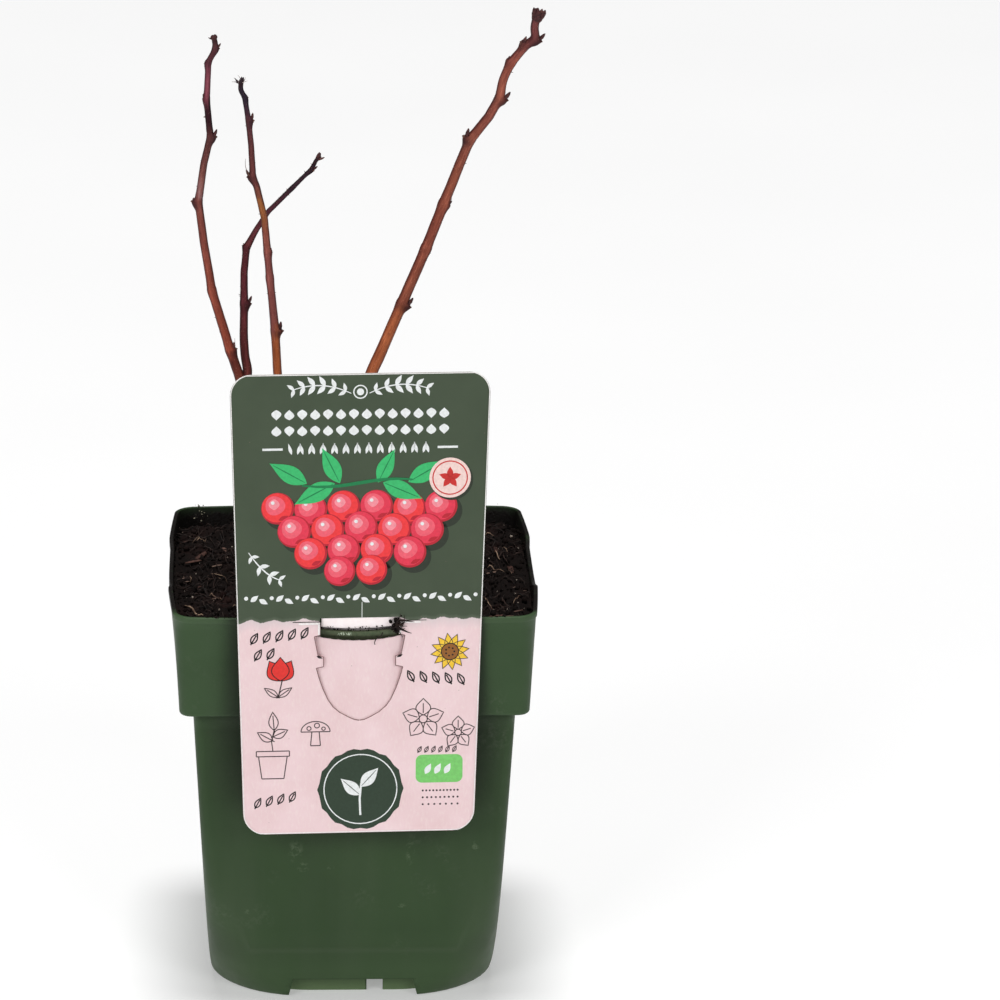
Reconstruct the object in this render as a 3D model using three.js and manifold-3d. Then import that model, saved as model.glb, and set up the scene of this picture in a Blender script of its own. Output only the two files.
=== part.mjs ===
// Bare raspberry canes in a square nursery pot, with a die-cut label hooked over the front rim.
// Millimetres, +Z up, the ground at z = 0, the front towards -Y.
import * as THREE from 'three';
import { mergeVertices } from 'three/addons/utils/BufferGeometryUtils.js';
import Module from 'manifold-3d';

const wasm = await Module();
wasm.setup();

// ---------------------------------------------------------------- driving dimensions

// The label hangs in front of the pot, so the pot's axis stands behind the middle of the whole.
const POT_AXIS_Y = 3.6;

// Pot: a thin moulded wall with a deep collar round the top.
const POT_HEIGHT = 168;
const WALL = 1.3;
const RIM_HALF = 75.2;
const SIDE_BOW = 1.8;
const COLLAR_UNDERSIDE = 125.2;
const COLLAR_FOOT_HALF = 70.1;
const COLLAR_FOOT_CORNER = 5;
const RIM_CORNER = 9;
const LIP_DEPTH = 2.2;
const LIP_OUT = 0.4;
const DIP_DEPTH = 4.9;
const DIP_HALF = 33;
const BODY_TOP_HALF = 64.7;
const BODY_FOOT_HALF = 58;
const BODY_TOP_CORNER = 3.5;
const BODY_FOOT_CORNER = 39.5;
const CORNER_FADE = 23;
const FLOOR_UNDERSIDE = 8;

// Foot: a notch in the middle of each side, and a low square rib under the floor.
const NOTCH_TOP_HALF = 24.4;
const NOTCH_FOOT_HALF = 26.2;
const NOTCH_HEIGHT = 7.4;
const RIB_HALF = 51.5;
const RIB_CORNER = 34;
const RIB_GAP_WIDTH = 6.6;
const RIB_GAP_OFFSET = 9;
const DRAIN_LENGTH = 13;
const DRAIN_WIDTH = 5;
const DRAIN_RADIUS = 38;

// Parts that touch in life stand GAP apart.
const GAP = 0.3;

// Potting soil fills the pot, just clear of its wall.
const SOIL_CLEARANCE = 0.6;
const SOIL_LEVEL = 161.4;
const SOIL_CORNER_DROP = 3.2;
const CROWN = new THREE.Vector2(-21, 12);
const CROWN_PATCH = 18;

// Label: a tapered card with rounded corners, a window with a tongue, and a hook over the rim.
const CARD_THICKNESS = 0.6;
const CARD_TOP = 106;
const CARD_FOOT = -84.3;
const CARD_TOP_HALF = 51.4;
const CARD_FOOT_HALF = 46.1;
const CARD_TOP_CORNER = 8.5;
const CARD_FOOT_CORNER = 8.5;
const CARD_SIDE_SHIFT = 1.5;
const CARD_STAND_OFF = 78.2;
const CARD_HEIGHT = 164;
const CARD_TURN = 2.8;
const CARD_LEAN = 1.3;
const SLOT_HALF = 15.7;
const SLOT_TOP = 5.8;
const SLIT_END = 26.6;
const SLIT_HEIGHT = 0.4;
const SHOULDER_HALF = 17.9;
const TOOTH_HALF = 14.2;
const TONGUE_TOP = -1.8;
const TONGUE_FOOT = -37;
const TONGUE_SET_BACK = 1.6;

// Canes. Each internode is [length, lean to the right, lean to the back, side of its bud].
// Lengths are in millimetres and leans in degrees from upright.
const CANE_SIDES = 8;
const CANE_STEP = 4.4;
const CANES = {
  cane_left: {
    foot: [-27, 6],
    baseRadius: 2.42,
    tipRadius: 0.98,
    internodes: [
      [86.3, -12.7, -1, ''],
      [11.0, -18, -5, 'right'],
      [27.2, -15.7, -7, 'back'],
      [21.2, -8.7, -8, ''],
      [17.8, -7, -7, 'left'],
      [16.1, 8, -4, ''],
      [11.6, 13, -5, 'right'],
      [16.2, -5, -7, 'left'],
      [15.0, 3, -4, 'front'],
      [6.8, 23, -5, 'right'],
      [5.0, -6, -6, 'tip'],
    ],
  },
  cane_middle: {
    foot: [-24, 19],
    baseRadius: 2.25,
    tipRadius: 0.85,
    internodes: [
      [82.6, -4.3, -3, ''],
      [18.1, -3, -6, 'right'],
      [23.1, -5.5, -5, 'back'],
      [11.2, -5, -5, 'right'],
      [14.6, -5, -4, ''],
      [13.7, -13, -6, ''],
      [4.4, -20, 0, 'left'],
      [12.6, -3, 5, ''],
      [10.2, -6, 6, 'right'],
      [11.5, -10, 3, 'right'],
      [5.7, -10, 0, 'tip'],
    ],
  },
  cane_right: {
    foot: [-13, 12],
    baseRadius: 2.75,
    tipRadius: 1.6,
    internodes: [
      [82.4, 14.8, 6, ''],
      [31.9, 23.5, 8, 'right'],
      [24.8, 23.1, 5, 'back'],
      [20.2, 20.6, 0, 'right'],
      [20.7, 20.2, -6, ''],
      [8.9, 22, -7, 'left'],
      [13.0, 35, -16, ''],
      [9.1, 27, -14, 'right'],
      [8.2, 10, -11, ''],
      [8.5, 22, -11, 'left'],
      [9.6, 37, -15, 'left'],
      [4.6, 48, -19, 'right'],
      [4.8, -1, -6, ''],
      [6.0, 10, -5, 'tip'],
    ],
  },
};

// The side cane leaves the left cane this far up it, bends sharply, and is two limbs.
const SIDE_CANE_AT = 81;
const SIDE_CANE_LOWER = {
  baseRadius: 1.85,
  tipRadius: 1.3,
  internodes: [
    [5.5, 25, 18, ''],
    [7.9, -7, 13, ''],
    [8.1, -3, 14, ''],
    [12.6, 1, 11, 'right'],
    [13.0, 0, 9, ''],
    [10.6, 6, 11, 'left'],
  ],
};
const SIDE_CANE_UPPER = {
  baseRadius: 1.2,
  tipRadius: 0.75,
  internodes: [
    [8.0, 33, 39, ''],
    [9.1, 37, 32, ''],
    [14.5, 50, 38, 'back'],
    [11.2, 50, 38, 'right'],
    [4.5, 32, 30, ''],
    [2.3, 46, 35, 'tip'],
  ],
};

const KNOT_RADIUS = 1.75;

// Buds and the stubs of fallen leaf stalks under them.
const BUD_LENGTH = 3.9;
const BUD_RADIUS = 0.95;
const BUD_ANGLE = 32;
const STUB_LENGTH = 2.6;
const STUB_RADIUS = 0.85;
const STUB_ANGLE = 72;
const NODE_SWELLING = 0.16;
const NODE_REACH = 2.4;

// ---------------------------------------------------------------- materials

function material(color, roughness) {
  return new THREE.MeshStandardMaterial({ color, roughness, metalness: 0 });
}

const MATERIALS = {
  pot: material(0x34492f, 0.55),
  soil: material(0x1a1411, 0.95),
  label: material(0x55604c, 0.5),
  bark: material(0x7d4434, 0.5),
  dark_bark: material(0x56302e, 0.55),
};

// ---------------------------------------------------------------- solids

// A manifold from a closed geometry: vertices merged, flat triangles dropped, faces turned out.
function solid(geometry) {
  geometry.deleteAttribute('normal');
  geometry.deleteAttribute('uv');
  const merged = mergeVertices(geometry, 1e-5);
  const points = merged.getAttribute('position').array;
  const index = merged.index.array;
  const corner = (i) => new THREE.Vector3().fromArray(points, 3 * i);
  const faces = [];
  let volume = 0;
  for (let t = 0; t < index.length; t += 3) {
    const [a, b, c] = [index[t], index[t + 1], index[t + 2]];
    if (a !== b && b !== c && c !== a) {
      faces.push([a, b, c]);
      volume += corner(a).dot(corner(b).cross(corner(c)));
    }
  }
  const triangles = faces.flatMap(([a, b, c]) => (volume > 0 ? [a, b, c] : [a, c, b]));
  return new wasm.Manifold(
    new wasm.Mesh({
      numProp: 3,
      vertProperties: new Float32Array(points),
      triVerts: new Uint32Array(triangles),
    }),
  );
}

function named(name, manifold, look) {
  const mesh = manifold.getMesh();
  const geometry = new THREE.BufferGeometry();
  const points = new Float32Array(mesh.vertProperties);
  geometry.setAttribute('position', new THREE.BufferAttribute(points, 3));
  geometry.setIndex(new THREE.BufferAttribute(new Uint32Array(mesh.triVerts), 1));
  geometry.computeVertexNormals();
  const part = new THREE.Mesh(geometry, look);
  part.name = name;
  return part;
}

// ---------------------------------------------------------------- square rings round the pot's axis

const FLAT_PLACES = [-1, -0.484, -0.33, -0.165, 0, 0.165, 0.33, 0.484];
const CORNER_PARTS = 6;
const SIDE_PARTS = FLAT_PLACES.length + CORNER_PARTS;
const RING_PARTS = 4 * SIDE_PARTS;

// How far the rim dips below its corners, this far along a side from the side's middle.
function rimDip(along) {
  return DIP_DEPTH * Math.max(0, 1 - (along / DIP_HALF) ** 2);
}

// One point of a rounded square. Each side has its bowed straight part and then its corner arc.
function ringPoint(part, { half, corner, bow = 0, z, dip = 0 }) {
  const side = Math.floor(part / SIDE_PARTS);
  const place = part % SIDE_PARTS;
  const straight = half - bow - corner;
  let out;
  let along;
  let drop = 0;
  if (place < FLAT_PLACES.length) {
    along = FLAT_PLACES[place] * straight;
    out = half - bow * FLAT_PLACES[place] ** 2;
    drop = dip * rimDip(along);
  } else {
    const angle = (Math.PI / 2) * ((place - FLAT_PLACES.length) / CORNER_PARTS);
    along = straight + corner * Math.sin(angle);
    out = straight + corner * Math.cos(angle);
  }
  const turned = new THREE.Vector2(out, along).rotateAround(new THREE.Vector2(), (side * Math.PI) / 2);
  return new THREE.Vector3(turned.x, turned.y, z - drop);
}

// A closed body through rings, starting and ending at a point on the axis.
function ringedBody(rings, parts, relief = () => 0) {
  const profile = rings.map((ring, level) => new THREE.Vector2(ring.half ? 1 : 0, level));
  const geometry = new THREE.LatheGeometry(profile, parts);
  const position = geometry.getAttribute('position');
  for (let i = 0; i <= parts; i += 1) {
    rings.forEach((ring, level) => {
      const part = ((i % parts) * RING_PARTS) / parts;
      const point = ring.half ? ringPoint(part, ring) : new THREE.Vector3(0, 0, ring.z);
      point.z += ring.top ? relief(point.x, point.y) : 0;
      position.setXYZ(i * rings.length + level, point.x, point.y, point.z);
    });
  }
  return solid(geometry);
}

function block(width, depth, height, x, y, z, turn = 0) {
  const geometry = new THREE.BoxGeometry(width, depth, height);
  geometry.translate(x, y, z + height / 2);
  geometry.rotateZ(turn);
  return solid(geometry);
}

// ---------------------------------------------------------------- pot

const BODY_LEVELS = [5, 11, 18, 27, 40, 62];

function bodyHalf(z) {
  return BODY_FOOT_HALF + (BODY_TOP_HALF - BODY_FOOT_HALF) * (z / COLLAR_UNDERSIDE);
}

function bodyCorner(z) {
  return BODY_TOP_CORNER + (BODY_FOOT_CORNER - BODY_TOP_CORNER) * Math.exp(-z / CORNER_FADE);
}

function bodyRing(z, inset) {
  return { half: bodyHalf(z) - inset, corner: bodyCorner(z) - inset, z };
}

// The collar is straight-sided at its foot, and more bowed and more rounded towards the rim.
function collarRing(z, inset, dip) {
  const share = (z - COLLAR_UNDERSIDE) / (POT_HEIGHT - LIP_DEPTH - COLLAR_UNDERSIDE);
  return {
    half: THREE.MathUtils.lerp(COLLAR_FOOT_HALF, RIM_HALF - LIP_OUT, share) - inset,
    corner: THREE.MathUtils.lerp(COLLAR_FOOT_CORNER, RIM_CORNER, share) - inset,
    bow: SIDE_BOW * share,
    z,
    dip,
  };
}

function rimRing(inset, z) {
  return { half: RIM_HALF - inset, corner: RIM_CORNER - inset, bow: SIDE_BOW, z, dip: 1 };
}

const SHELF_TOP = COLLAR_UNDERSIDE + WALL;

function potShell() {
  const outside = [
    bodyRing(0, 0),
    ...BODY_LEVELS.map((z) => bodyRing(z, 0)),
    bodyRing(COLLAR_UNDERSIDE, 0),
    collarRing(COLLAR_UNDERSIDE, 1, 0),
    collarRing(COLLAR_UNDERSIDE + 1, 0, 0),
    collarRing(146, 0, 0),
    collarRing(POT_HEIGHT - LIP_DEPTH - 0.4, 0, 1),
    rimRing(0, POT_HEIGHT - LIP_DEPTH),
    rimRing(0, POT_HEIGHT - 0.4),
  ];
  const inside = [
    rimRing(0.4, POT_HEIGHT),
    rimRing(WALL + LIP_OUT - 0.3, POT_HEIGHT),
    rimRing(WALL + LIP_OUT, POT_HEIGHT - 0.4),
    collarRing(146, WALL, 0),
    collarRing(SHELF_TOP, WALL, 0),
    bodyRing(SHELF_TOP, WALL),
    ...BODY_LEVELS.filter((z) => z > 9).reverse().map((z) => bodyRing(z, WALL)),
    bodyRing(FLOOR_UNDERSIDE + WALL, WALL),
  ];
  return ringedBody(
    [
      { z: FLOOR_UNDERSIDE },
      bodyRing(FLOOR_UNDERSIDE, WALL),
      bodyRing(0, WALL),
      ...outside,
      ...inside,
      { z: FLOOR_UNDERSIDE + WALL },
    ],
    RING_PARTS,
  );
}

// The square rib under the floor, as a ring with a hollow inside.
function footRib() {
  const rib = (half, low, high) => ringedBody(
    [
      { z: low },
      { half, corner: RIB_CORNER, z: low },
      { half, corner: RIB_CORNER, z: high },
      { z: high },
    ],
    RING_PARTS / 2,
  );
  return rib(RIB_HALF, 0, FLOOR_UNDERSIDE + 0.5).subtract(rib(RIB_HALF - WALL, -1, FLOOR_UNDERSIDE + 1));
}

function footNotch(turn) {
  const outline = new THREE.Shape();
  outline.moveTo(-NOTCH_FOOT_HALF - 0.25, -1);
  outline.lineTo(NOTCH_FOOT_HALF + 0.25, -1);
  outline.lineTo(NOTCH_TOP_HALF, NOTCH_HEIGHT);
  outline.lineTo(-NOTCH_TOP_HALF, NOTCH_HEIGHT);
  const geometry = new THREE.ExtrudeGeometry(outline, { depth: 6, bevelEnabled: false });
  geometry.rotateX(Math.PI / 2);
  geometry.translate(0, BODY_FOOT_HALF + 3, 0);
  geometry.rotateZ(turn);
  return solid(geometry);
}

function pot() {
  let body = potShell().add(footRib());
  for (let side = 0; side < 4; side += 1) {
    const turn = (side * Math.PI) / 2;
    body = body.subtract(footNotch(turn));
    body = body.subtract(
      block(RIB_GAP_WIDTH, 6, FLOOR_UNDERSIDE + 1, -RIB_GAP_OFFSET, RIB_HALF, -1, turn),
    );
    for (const along of [-0.5, 0.5]) {
      body = body.subtract(
        block(DRAIN_LENGTH, DRAIN_WIDTH, 6, along * DRAIN_RADIUS, DRAIN_RADIUS, FLOOR_UNDERSIDE - 1, turn),
      );
    }
  }
  return body;
}

// ---------------------------------------------------------------- soil

function distanceToCrown(x, y) {
  return Math.hypot(x - CROWN.x, y - CROWN.y);
}

// The soil's top: lower in the corners, a few soft humps, and flat where the canes come up.
function soilRelief(x, y) {
  const cornerness = (Math.abs(x) / 72) ** 3 * (Math.abs(y) / 72) ** 3;
  const humps = 0.8 * Math.sin(x / 9 + 1) * Math.cos(y / 11) + 0.5 * Math.sin((x - y) / 6);
  const clear = THREE.MathUtils.smoothstep(distanceToCrown(x, y), CROWN_PATCH, CROWN_PATCH + 12);
  const edge = THREE.MathUtils.smoothstep(Math.max(Math.abs(x), Math.abs(y)), 60, 72);
  return -SOIL_CORNER_DROP * cornerness + humps * clear * (1 - edge);
}

function soil() {
  const inset = WALL + SOIL_CLEARANCE;
  const brim = collarRing(SOIL_LEVEL - SOIL_CORNER_DROP, inset, 0);
  const top = [1, 0.88, 0.74, 0.6, 0.46, 0.32, 0.16].map((share) => ({
    half: share * brim.half,
    corner: share * brim.corner,
    bow: share * brim.bow,
    z: SOIL_LEVEL,
    top: true,
  }));
  const rootBall = inset + GAP;
  const body = ringedBody(
    [
      { z: FLOOR_UNDERSIDE + inset },
      bodyRing(FLOOR_UNDERSIDE + inset, rootBall),
      ...BODY_LEVELS.filter((z) => z > 10).map((z) => bodyRing(z, rootBall)),
      bodyRing(SHELF_TOP + GAP, rootBall),
      collarRing(SHELF_TOP + GAP, inset, 0),
      collarRing(146, inset, 0),
      ...top,
      { z: SOIL_LEVEL, top: true },
    ],
    RING_PARTS / 2,
    soilRelief,
  );
  const hookBay = block(2 * SLOT_HALF + 4, 5.4, 16, CARD_SIDE_SHIFT, -71.2, 155);
  return body.subtract(hookBay);
}

// ---------------------------------------------------------------- label

// Half-width of the card this far above its hanging line.
function cardHalf(height) {
  const share = (height - CARD_FOOT) / (CARD_TOP - CARD_FOOT);
  return CARD_FOOT_HALF + (CARD_TOP_HALF - CARD_FOOT_HALF) * share;
}

// The right edge of the card from its foot up, then the left edge back down.
function cardOutline() {
  const outline = new THREE.Shape();
  const footBend = CARD_FOOT + CARD_FOOT_CORNER;
  const topBend = CARD_TOP - CARD_TOP_CORNER;
  const footHalf = cardHalf(CARD_FOOT);
  const topHalf = cardHalf(CARD_TOP);
  outline.moveTo(CARD_FOOT_CORNER - footHalf, CARD_FOOT);
  outline.lineTo(footHalf - CARD_FOOT_CORNER, CARD_FOOT);
  outline.quadraticCurveTo(footHalf, CARD_FOOT, cardHalf(footBend), footBend);
  outline.lineTo(cardHalf(topBend), topBend);
  outline.quadraticCurveTo(topHalf, CARD_TOP, topHalf - CARD_TOP_CORNER, CARD_TOP);
  outline.lineTo(CARD_TOP_CORNER - topHalf, CARD_TOP);
  outline.quadraticCurveTo(-topHalf, CARD_TOP, -cardHalf(topBend), topBend);
  outline.lineTo(-cardHalf(footBend), footBend);
  outline.quadraticCurveTo(-footHalf, CARD_FOOT, CARD_FOOT_CORNER - footHalf, CARD_FOOT);
  return outline;
}

// The right half of the window, from the slot's top down to the foot of the tongue.
function windowHalf() {
  return [
    [SLOT_HALF, SLOT_TOP],
    [SLOT_HALF, SLOT_TOP - 1.3],
    [SLIT_END, SLOT_TOP - 1.3],
    [SLIT_END, SLOT_TOP - 1.3 - SLIT_HEIGHT],
    [SLOT_HALF, SLOT_TOP - 1.3 - SLIT_HEIGHT],
    [SLOT_HALF, TONGUE_TOP + 0.6],
    [SHOULDER_HALF, TONGUE_TOP],
    [SHOULDER_HALF - 1.5, -9.8],
    [TOOTH_HALF, -10.3],
    [TOOTH_HALF, -14.3],
    [SHOULDER_HALF - 0.8, -14.9],
    [12.3, -28.5],
    [7.3, -33.8],
    [0, TONGUE_FOOT],
  ];
}

function windowOutline() {
  const right = windowHalf();
  const left = right.slice(0, -1).reverse().map(([across, up]) => [-across, up]);
  const hole = new THREE.Path();
  hole.setFromPoints([...right, ...left].map(([across, up]) => new THREE.Vector2(across, up)));
  hole.closePath();
  return hole;
}

function tongue() {
  const outline = new THREE.Shape();
  outline.moveTo(-SHOULDER_HALF - 1, TONGUE_TOP);
  outline.quadraticCurveTo(0, TONGUE_TOP - 1.6, SHOULDER_HALF + 1, TONGUE_TOP);
  outline.lineTo(SHOULDER_HALF + 1, -16);
  outline.lineTo(13.8, -30);
  outline.quadraticCurveTo(8, -37.6, 0, TONGUE_FOOT - 2);
  outline.quadraticCurveTo(-8, -37.6, -13.8, -30);
  outline.lineTo(-SHOULDER_HALF - 1, -16);
  const geometry = new THREE.ExtrudeGeometry(outline, {
    depth: 0.55,
    bevelEnabled: false,
    curveSegments: 6,
  });
  const lean = Math.atan2(TONGUE_SET_BACK - 0.25, TONGUE_TOP - TONGUE_FOOT);
  geometry.translate(0, -TONGUE_FOOT, -0.55);
  geometry.rotateX(-lean);
  geometry.translate(0, TONGUE_FOOT, CARD_THICKNESS - 0.25);
  return solid(geometry);
}

// The strip from the top of the slot back over the rim and down between the rim and the soil.
function hook() {
  const path = [[0.55, SLOT_TOP + 1], [-1.6, 5.3], [-3.9, 3.6], [-6.7, 0.8], [-6.7, -7]];
  const outline = new THREE.Shape();
  path.forEach(([back, up], i) => (i ? outline.lineTo(back, up) : outline.moveTo(back, up)));
  [...path].reverse().forEach(([back, up], i) => {
    const [over, above] = i < 2 ? [0.55, 0] : [0.35, 0.5];
    outline.lineTo(back - over + (i === 4 ? 0.35 : 0), up + above);
  });
  const geometry = new THREE.ExtrudeGeometry(outline, { depth: 2 * SLOT_HALF - 1.2, bevelEnabled: false });
  geometry.translate(0, 0, -SLOT_HALF + 0.6);
  geometry.rotateY(-Math.PI / 2);
  return solid(geometry);
}

function label() {
  const outline = cardOutline();
  outline.holes.push(windowOutline());
  const card = new THREE.ExtrudeGeometry(outline, {
    depth: CARD_THICKNESS,
    bevelEnabled: false,
    curveSegments: 6,
  });
  const place = new THREE.Matrix4().makeTranslation(0, -CARD_STAND_OFF, CARD_HEIGHT);
  place.multiply(new THREE.Matrix4().makeRotationZ(THREE.MathUtils.degToRad(CARD_TURN)));
  place.multiply(new THREE.Matrix4().makeRotationX(THREE.MathUtils.degToRad(90 - CARD_LEAN)));
  place.multiply(new THREE.Matrix4().makeTranslation(CARD_SIDE_SHIFT, 0, -CARD_THICKNESS));
  return solid(card).add(tongue()).add(hook()).transform(place.elements);
}

// ---------------------------------------------------------------- canes

function direction(leanRight, leanBack) {
  const right = Math.tan(THREE.MathUtils.degToRad(leanRight));
  const back = Math.tan(THREE.MathUtils.degToRad(leanBack));
  return new THREE.Vector3(right, back, 1).normalize();
}

const BUD_SIDES = {
  left: new THREE.Vector3(-1, -0.25, 0),
  right: new THREE.Vector3(1, -0.25, 0),
  front: new THREE.Vector3(-0.3, -1, 0),
  back: new THREE.Vector3(0.3, 1, 0),
};

// The limb's centre line, nearly straight between nodes, with the distance of each node along it.
function limbLine(start, internodes) {
  const points = [start.clone()];
  const nodes = [];
  const at = start.clone();
  for (const [length, leanRight, leanBack, side] of internodes) {
    const step = direction(leanRight, leanBack).multiplyScalar(length);
    if (length > 9) {
      points.push(at.clone().addScaledVector(step, 0.25), at.clone().addScaledVector(step, 0.75));
    }
    at.add(step);
    points.push(at.clone());
    nodes.push({ at: at.clone(), side });
  }
  const curve = new THREE.CatmullRomCurve3(points, false, 'centripetal');
  curve.arcLengthDivisions = 400;
  let travelled = 0;
  nodes.forEach((node, i) => {
    travelled += internodes[i][0];
    node.share = travelled;
  });
  nodes.forEach((node) => {
    node.share /= travelled;
  });
  return { curve, nodes };
}

function limbRadius(limb, nodes, length, share) {
  const taper = limb.tipRadius + (limb.baseRadius - limb.tipRadius) * (1 - share) ** 0.8;
  const flare = limb.foot ? 0.35 * Math.exp((-share * length) / 4) : 0;
  const swelling = nodes
    .filter((node) => node.side && node.side !== 'tip')
    .map((node) => ((share - node.share) * length) / NODE_REACH)
    .map((distance) => Math.exp(-distance * distance))
    .reduce((sum, one) => sum + one, 0);
  return taper * (1 + flare + NODE_SWELLING * swelling);
}

// A round bar bent along the line: each ring of a cylinder is set square across it.
function taperedBar(limb, { curve, nodes }) {
  const length = curve.getLength();
  const steps = Math.ceil(length / CANE_STEP);
  const geometry = new THREE.CylinderGeometry(1, 1, 1, CANE_SIDES, steps);
  const frames = curve.computeFrenetFrames(steps, false);
  const position = geometry.getAttribute('position');
  for (let i = 0; i < position.count; i += 1) {
    const step = Math.round((position.getY(i) + 0.5) * steps);
    const share = step / steps;
    const radius = limbRadius(limb, nodes, length, share);
    const point = curve.getPointAt(share);
    point.addScaledVector(frames.normals[step], position.getX(i) * radius);
    point.addScaledVector(frames.binormals[step], -position.getZ(i) * radius);
    position.setXYZ(i, point.x, point.y, point.z);
  }
  return solid(geometry);
}

// A pointed spindle from its base on the limb towards a direction.
function spindle(base, towards, length, radius, bluntness) {
  const profile = [
    new THREE.Vector2(0, 0),
    new THREE.Vector2(0.7 * radius, 0),
    new THREE.Vector2(radius, 0.35 * length),
    new THREE.Vector2(0.75 * radius, 0.7 * length),
    new THREE.Vector2(bluntness * radius, length),
    new THREE.Vector2(0, length),
  ];
  const geometry = new THREE.LatheGeometry(profile, 6);
  const turn = new THREE.Quaternion().setFromUnitVectors(new THREE.Vector3(0, 1, 0), towards);
  geometry.applyQuaternion(turn);
  geometry.translate(base.x, base.y, base.z);
  return solid(geometry);
}

function slanted(along, out, degrees) {
  const angle = THREE.MathUtils.degToRad(degrees);
  return along.clone().multiplyScalar(Math.cos(angle)).addScaledVector(out, Math.sin(angle)).normalize();
}

// A bud and the stub under it, at one node of a limb.
function budPieces(limb, line, node) {
  const length = line.curve.getLength();
  const along = line.curve.getTangentAt(node.share);
  const radius = limbRadius(limb, [], length, node.share);
  const size = Math.min(1, 0.45 + radius / 3.6);
  if (node.side === 'tip') {
    const across = new THREE.Vector3(1, 0, 0).cross(along).normalize();
    return [-1, 0, 1].map((turn) => {
      const out = across.clone().applyAxisAngle(along, turn * 2.1 + 0.6);
      const base = node.at.clone().addScaledVector(along, -1.2).addScaledVector(out, 0.35 * radius);
      return spindle(base, slanted(along, out, 24), (2.9 + 0.5 * turn) * size, 0.62 * radius, 0.3);
    });
  }
  const out = BUD_SIDES[node.side].clone().projectOnPlane(along).normalize();
  const foot = node.at.clone().addScaledVector(out, 0.55 * radius);
  const bud = spindle(foot, slanted(along, out, BUD_ANGLE), BUD_LENGTH * size, BUD_RADIUS * size, 0.25);
  const stubFoot = foot.clone().addScaledVector(along, -1.3 * size).addScaledVector(out, -0.2 * radius);
  const stub = spindle(
    stubFoot,
    slanted(along, out, STUB_ANGLE),
    STUB_LENGTH * size,
    STUB_RADIUS * size,
    0.6,
  );
  return [bud, stub];
}

function limbBody(limb, line) {
  const pieces = line.nodes
    .filter((node) => node.side)
    .flatMap((node) => budPieces(limb, line, node));
  return pieces.reduce((body, piece) => body.add(piece), taperedBar(limb, line));
}

function knot(centre, radius) {
  const geometry = new THREE.SphereGeometry(radius, CANE_SIDES, 6);
  geometry.translate(centre.x, centre.y, centre.z);
  return solid(geometry);
}

// Everything below this height, for cutting a cane's foot flat.
function below(height) {
  return block(200, 200, 60, 0, 0, height - 60);
}

const CANE_FOOT = SOIL_LEVEL + GAP;

function cane(limb) {
  const start = new THREE.Vector3(limb.foot[0], limb.foot[1], CANE_FOOT);
  const line = limbLine(start, limb.internodes);
  const root = direction(limb.internodes[0][1], limb.internodes[0][2]);
  const [, leanRight, leanBack] = limb.internodes[0];
  const stump = limbLine(start.clone().addScaledVector(root, -3), [[3, leanRight, leanBack, '']]);
  const stumpLimb = { baseRadius: limb.baseRadius * 1.35, tipRadius: limb.baseRadius * 1.35 };
  const body = limbBody(limb, line).add(taperedBar(stumpLimb, stump)).subtract(below(CANE_FOOT));
  return { body, line };
}

// ---------------------------------------------------------------- the whole

const whole = new THREE.Group();
whole.position.y = POT_AXIS_Y;

whole.add(named('pot', pot(), MATERIALS.pot));
whole.add(named('potting_soil', soil(), MATERIALS.soil));
whole.add(named('label', label(), MATERIALS.label));

const canes = Object.fromEntries(Object.entries(CANES).map(([name, limb]) => [name, cane(limb)]));
for (const [name, { body }] of Object.entries(canes)) {
  whole.add(named(name, body, MATERIALS.bark));
}

// The side cane's lower limb is cut clear of the left cane, by the left cane made thicker.
const forkShare = SIDE_CANE_AT / canes.cane_left.line.curve.getLength();
const fork = canes.cane_left.line.curve.getPointAt(forkShare);
const lowerLine = limbLine(fork, SIDE_CANE_LOWER.internodes);
const thickened = {
  baseRadius: CANES.cane_left.baseRadius + GAP,
  tipRadius: CANES.cane_left.tipRadius + GAP,
};
const clearance = taperedBar(thickened, { curve: canes.cane_left.line.curve, nodes: [] });
const bend = lowerLine.curve.getPointAt(1);
const lowerBody = limbBody(SIDE_CANE_LOWER, lowerLine).subtract(clearance).add(knot(bend, KNOT_RADIUS));
whole.add(named('side_cane_lower', lowerBody, MATERIALS.dark_bark));

// The upper limb starts in the knot at the bend and is cut GAP clear of it.
const upperLine = limbLine(bend, SIDE_CANE_UPPER.internodes);
const upperBody = limbBody(SIDE_CANE_UPPER, upperLine).subtract(knot(bend, KNOT_RADIUS + GAP));
whole.add(named('side_cane_upper', upperBody, MATERIALS.dark_bark));

export default whole;
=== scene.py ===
# %% [markdown]
# # A raspberry plant in its winter coat
# The object is a young raspberry in a square nursery pot: three bare canes and a bent side cane,
# potting soil, and a printed label that hooks over the rim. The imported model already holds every
# part at its real size. This lesson dresses it: each part gets a finer surface and a finish.

import bmesh
import bpy
import numpy as np
from mathutils import Matrix, Vector


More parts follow.
